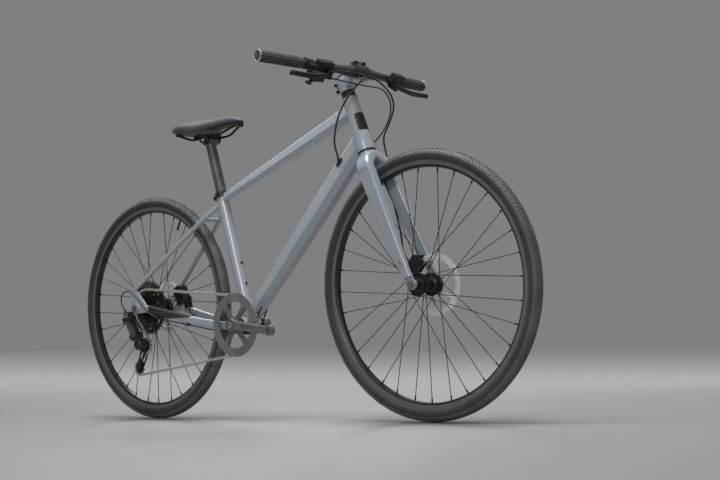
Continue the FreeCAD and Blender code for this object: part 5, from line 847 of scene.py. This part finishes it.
# Points round half a section: shares of the half width, of the height and of the skirt.
half_profile = np.array([
    (0.0, 1.0, 0.0), (0.30, 0.988, 0.0), (0.55, 0.95, 0.0), (0.75, 0.87, 0.0), (0.90, 0.71, 0.0),
    (0.975, 0.50, 0.0), (1.0, 0.26, 0.0), (0.985, 0.05, -0.3), (0.95, 0.0, -0.75), (0.905, 0.0, -1.0),
    (0.865, 0.0, -0.95), (0.835, 0.0, -0.5), (0.80, 0.01, 0.0), (0.5, 0.01, 0.0)])


def saddle_surface(lengths, rounds, slim):
    """Closed pad: station along the saddle by place round its section.

    A section is crowned above, widest below its shoulder, and ends in a skirt that turns back up to a flat
    base. Width, height and skirt follow the stations, smoothed along the length and slimmed by one amount,
    and shrink to a point at both ends.
    """
    u = 0.5 - 0.5 * np.cos(np.pi * np.linspace(0, 1, lengths))
    x = pad_stations[0, 0] + u * (pad_stations[-1, 0] - pad_stations[0, 0])
    half, height, skirt = [np.interp(x, pad_stations[:, 0], pad_stations[:, i]) for i in (1, 2, 3)]
    for row in (half, height, skirt):
        for _ in range(4):
            row[1:-1] = 0.25 * row[:-2] + 0.5 * row[1:-1] + 0.25 * row[2:]
    half = np.maximum(half - slim, 0.0)
    height = np.maximum(height - slim, 0.002)
    half[[0, -1]] = 0.0
    other = half_profile[::-1] * np.array([-1.0, 1.0, 1.0])
    loop = np.concatenate([half_profile, other[:-1]])
    closed = np.concatenate([loop, loop[:1]])
    place = np.linspace(0, len(loop), rounds, endpoint=False)
    ring = np.column_stack([np.interp(place, np.arange(len(closed)), closed[:, i]) for i in range(3)])
    for _ in range(6):
        ring = 0.25 * np.roll(ring, 1, 0) + 0.5 * ring + 0.25 * np.roll(ring, -1, 0)
    y = half[:, None] * ring[:, 0]
    z = pad_floor + height[:, None] * ring[:, 1] + skirt[:, None] * ring[:, 2]
    points = np.stack([np.broadcast_to((clamp_x + x)[:, None], y.shape), y, z], -1)
    return points, grid_faces(lengths, rounds, False, True)


saddle_cover = finish("saddle_cover", tone(52, 54, 59), tone(66, 68, 74),
                      24.0, (0.42, 0.56), 1500.0, 0.3, sheen=0.15)


def fill_out(piece, cell, pressure, most):
    """Even cells over a closed mesh, blown up by cloth under pressure for twenty frames, underside held.

    No point moves further than the most allowed; the cover is then drawn smooth between neighbours.
    """
    cells = piece.modifiers.new("cells", "REMESH")
    cells.mode = "VOXEL"
    cells.voxel_size = cell
    cells.use_smooth_shade = True
    piece.data = bpy.data.meshes.new_from_object(piece.evaluated_get(bpy.context.evaluated_depsgraph_get()))
    piece.modifiers.clear()
    start = read_points(piece.data)
    facing = np.zeros(len(start) * 3)
    piece.data.vertices.foreach_get("normal", facing)
    held = piece.vertex_groups.new(name="held")
    held.add(np.flatnonzero(facing.reshape(-1, 3)[:, 2] < -0.4).tolist(), 1.0, "REPLACE")
    cover = piece.modifiers.new("cover", "CLOTH")
    cover.settings.vertex_group_mass = "held"
    cover.settings.use_pressure = True
    cover.settings.uniform_pressure_force = pressure
    cover.settings.effector_weights.gravity = 0.0
    frames = 20
    cover.point_cache.frame_start = 1
    cover.point_cache.frame_end = frames
    for still in range(1, frames + 1):
        bpy.context.scene.frame_set(still)
    blown = piece.evaluated_get(bpy.context.evaluated_depsgraph_get()).to_mesh()
    move = read_points(blown) - start
    piece.modifiers.clear()
    bpy.context.scene.frame_set(1)
    length = np.linalg.norm(move, axis=1)[:, None]
    points = start + move * np.minimum(1.0, most / np.maximum(length, 1e-9))
    edges = np.zeros(len(piece.data.edges) * 2, int)
    piece.data.edges.foreach_get("vertices", edges)
    edges = edges.reshape(-1, 2)
    shares = np.bincount(edges.ravel(), minlength=len(points))[:, None]
    for _ in range(6):
        near = np.zeros_like(points)
        np.add.at(near, edges[:, 0], points[edges[:, 1]])
        np.add.at(near, edges[:, 1], points[edges[:, 0]])
        points = 0.5 * points + 0.5 * near / shares
    piece.data.vertices.foreach_set("co", points.ravel())
    piece.data.update()


pad_lengths = 141
pad_rounds = 132
cover_slim = 0.0010
cover_cell = 0.004
cover_pressure = 4.0
cover_most = 0.005
saddle = place_mesh("saddle_cover_pad", *saddle_surface(pad_lengths, pad_rounds, cover_slim))
fill_out(saddle, cover_cell, cover_pressure, cover_most)
finer = saddle.modifiers.new("finer", "SUBSURF")
finer.levels = 1
finer.render_levels = 1
saddle.data.materials.clear()
saddle.data.materials.append(saddle_cover)
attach(saddle, "saddle")
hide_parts("saddle_pad")
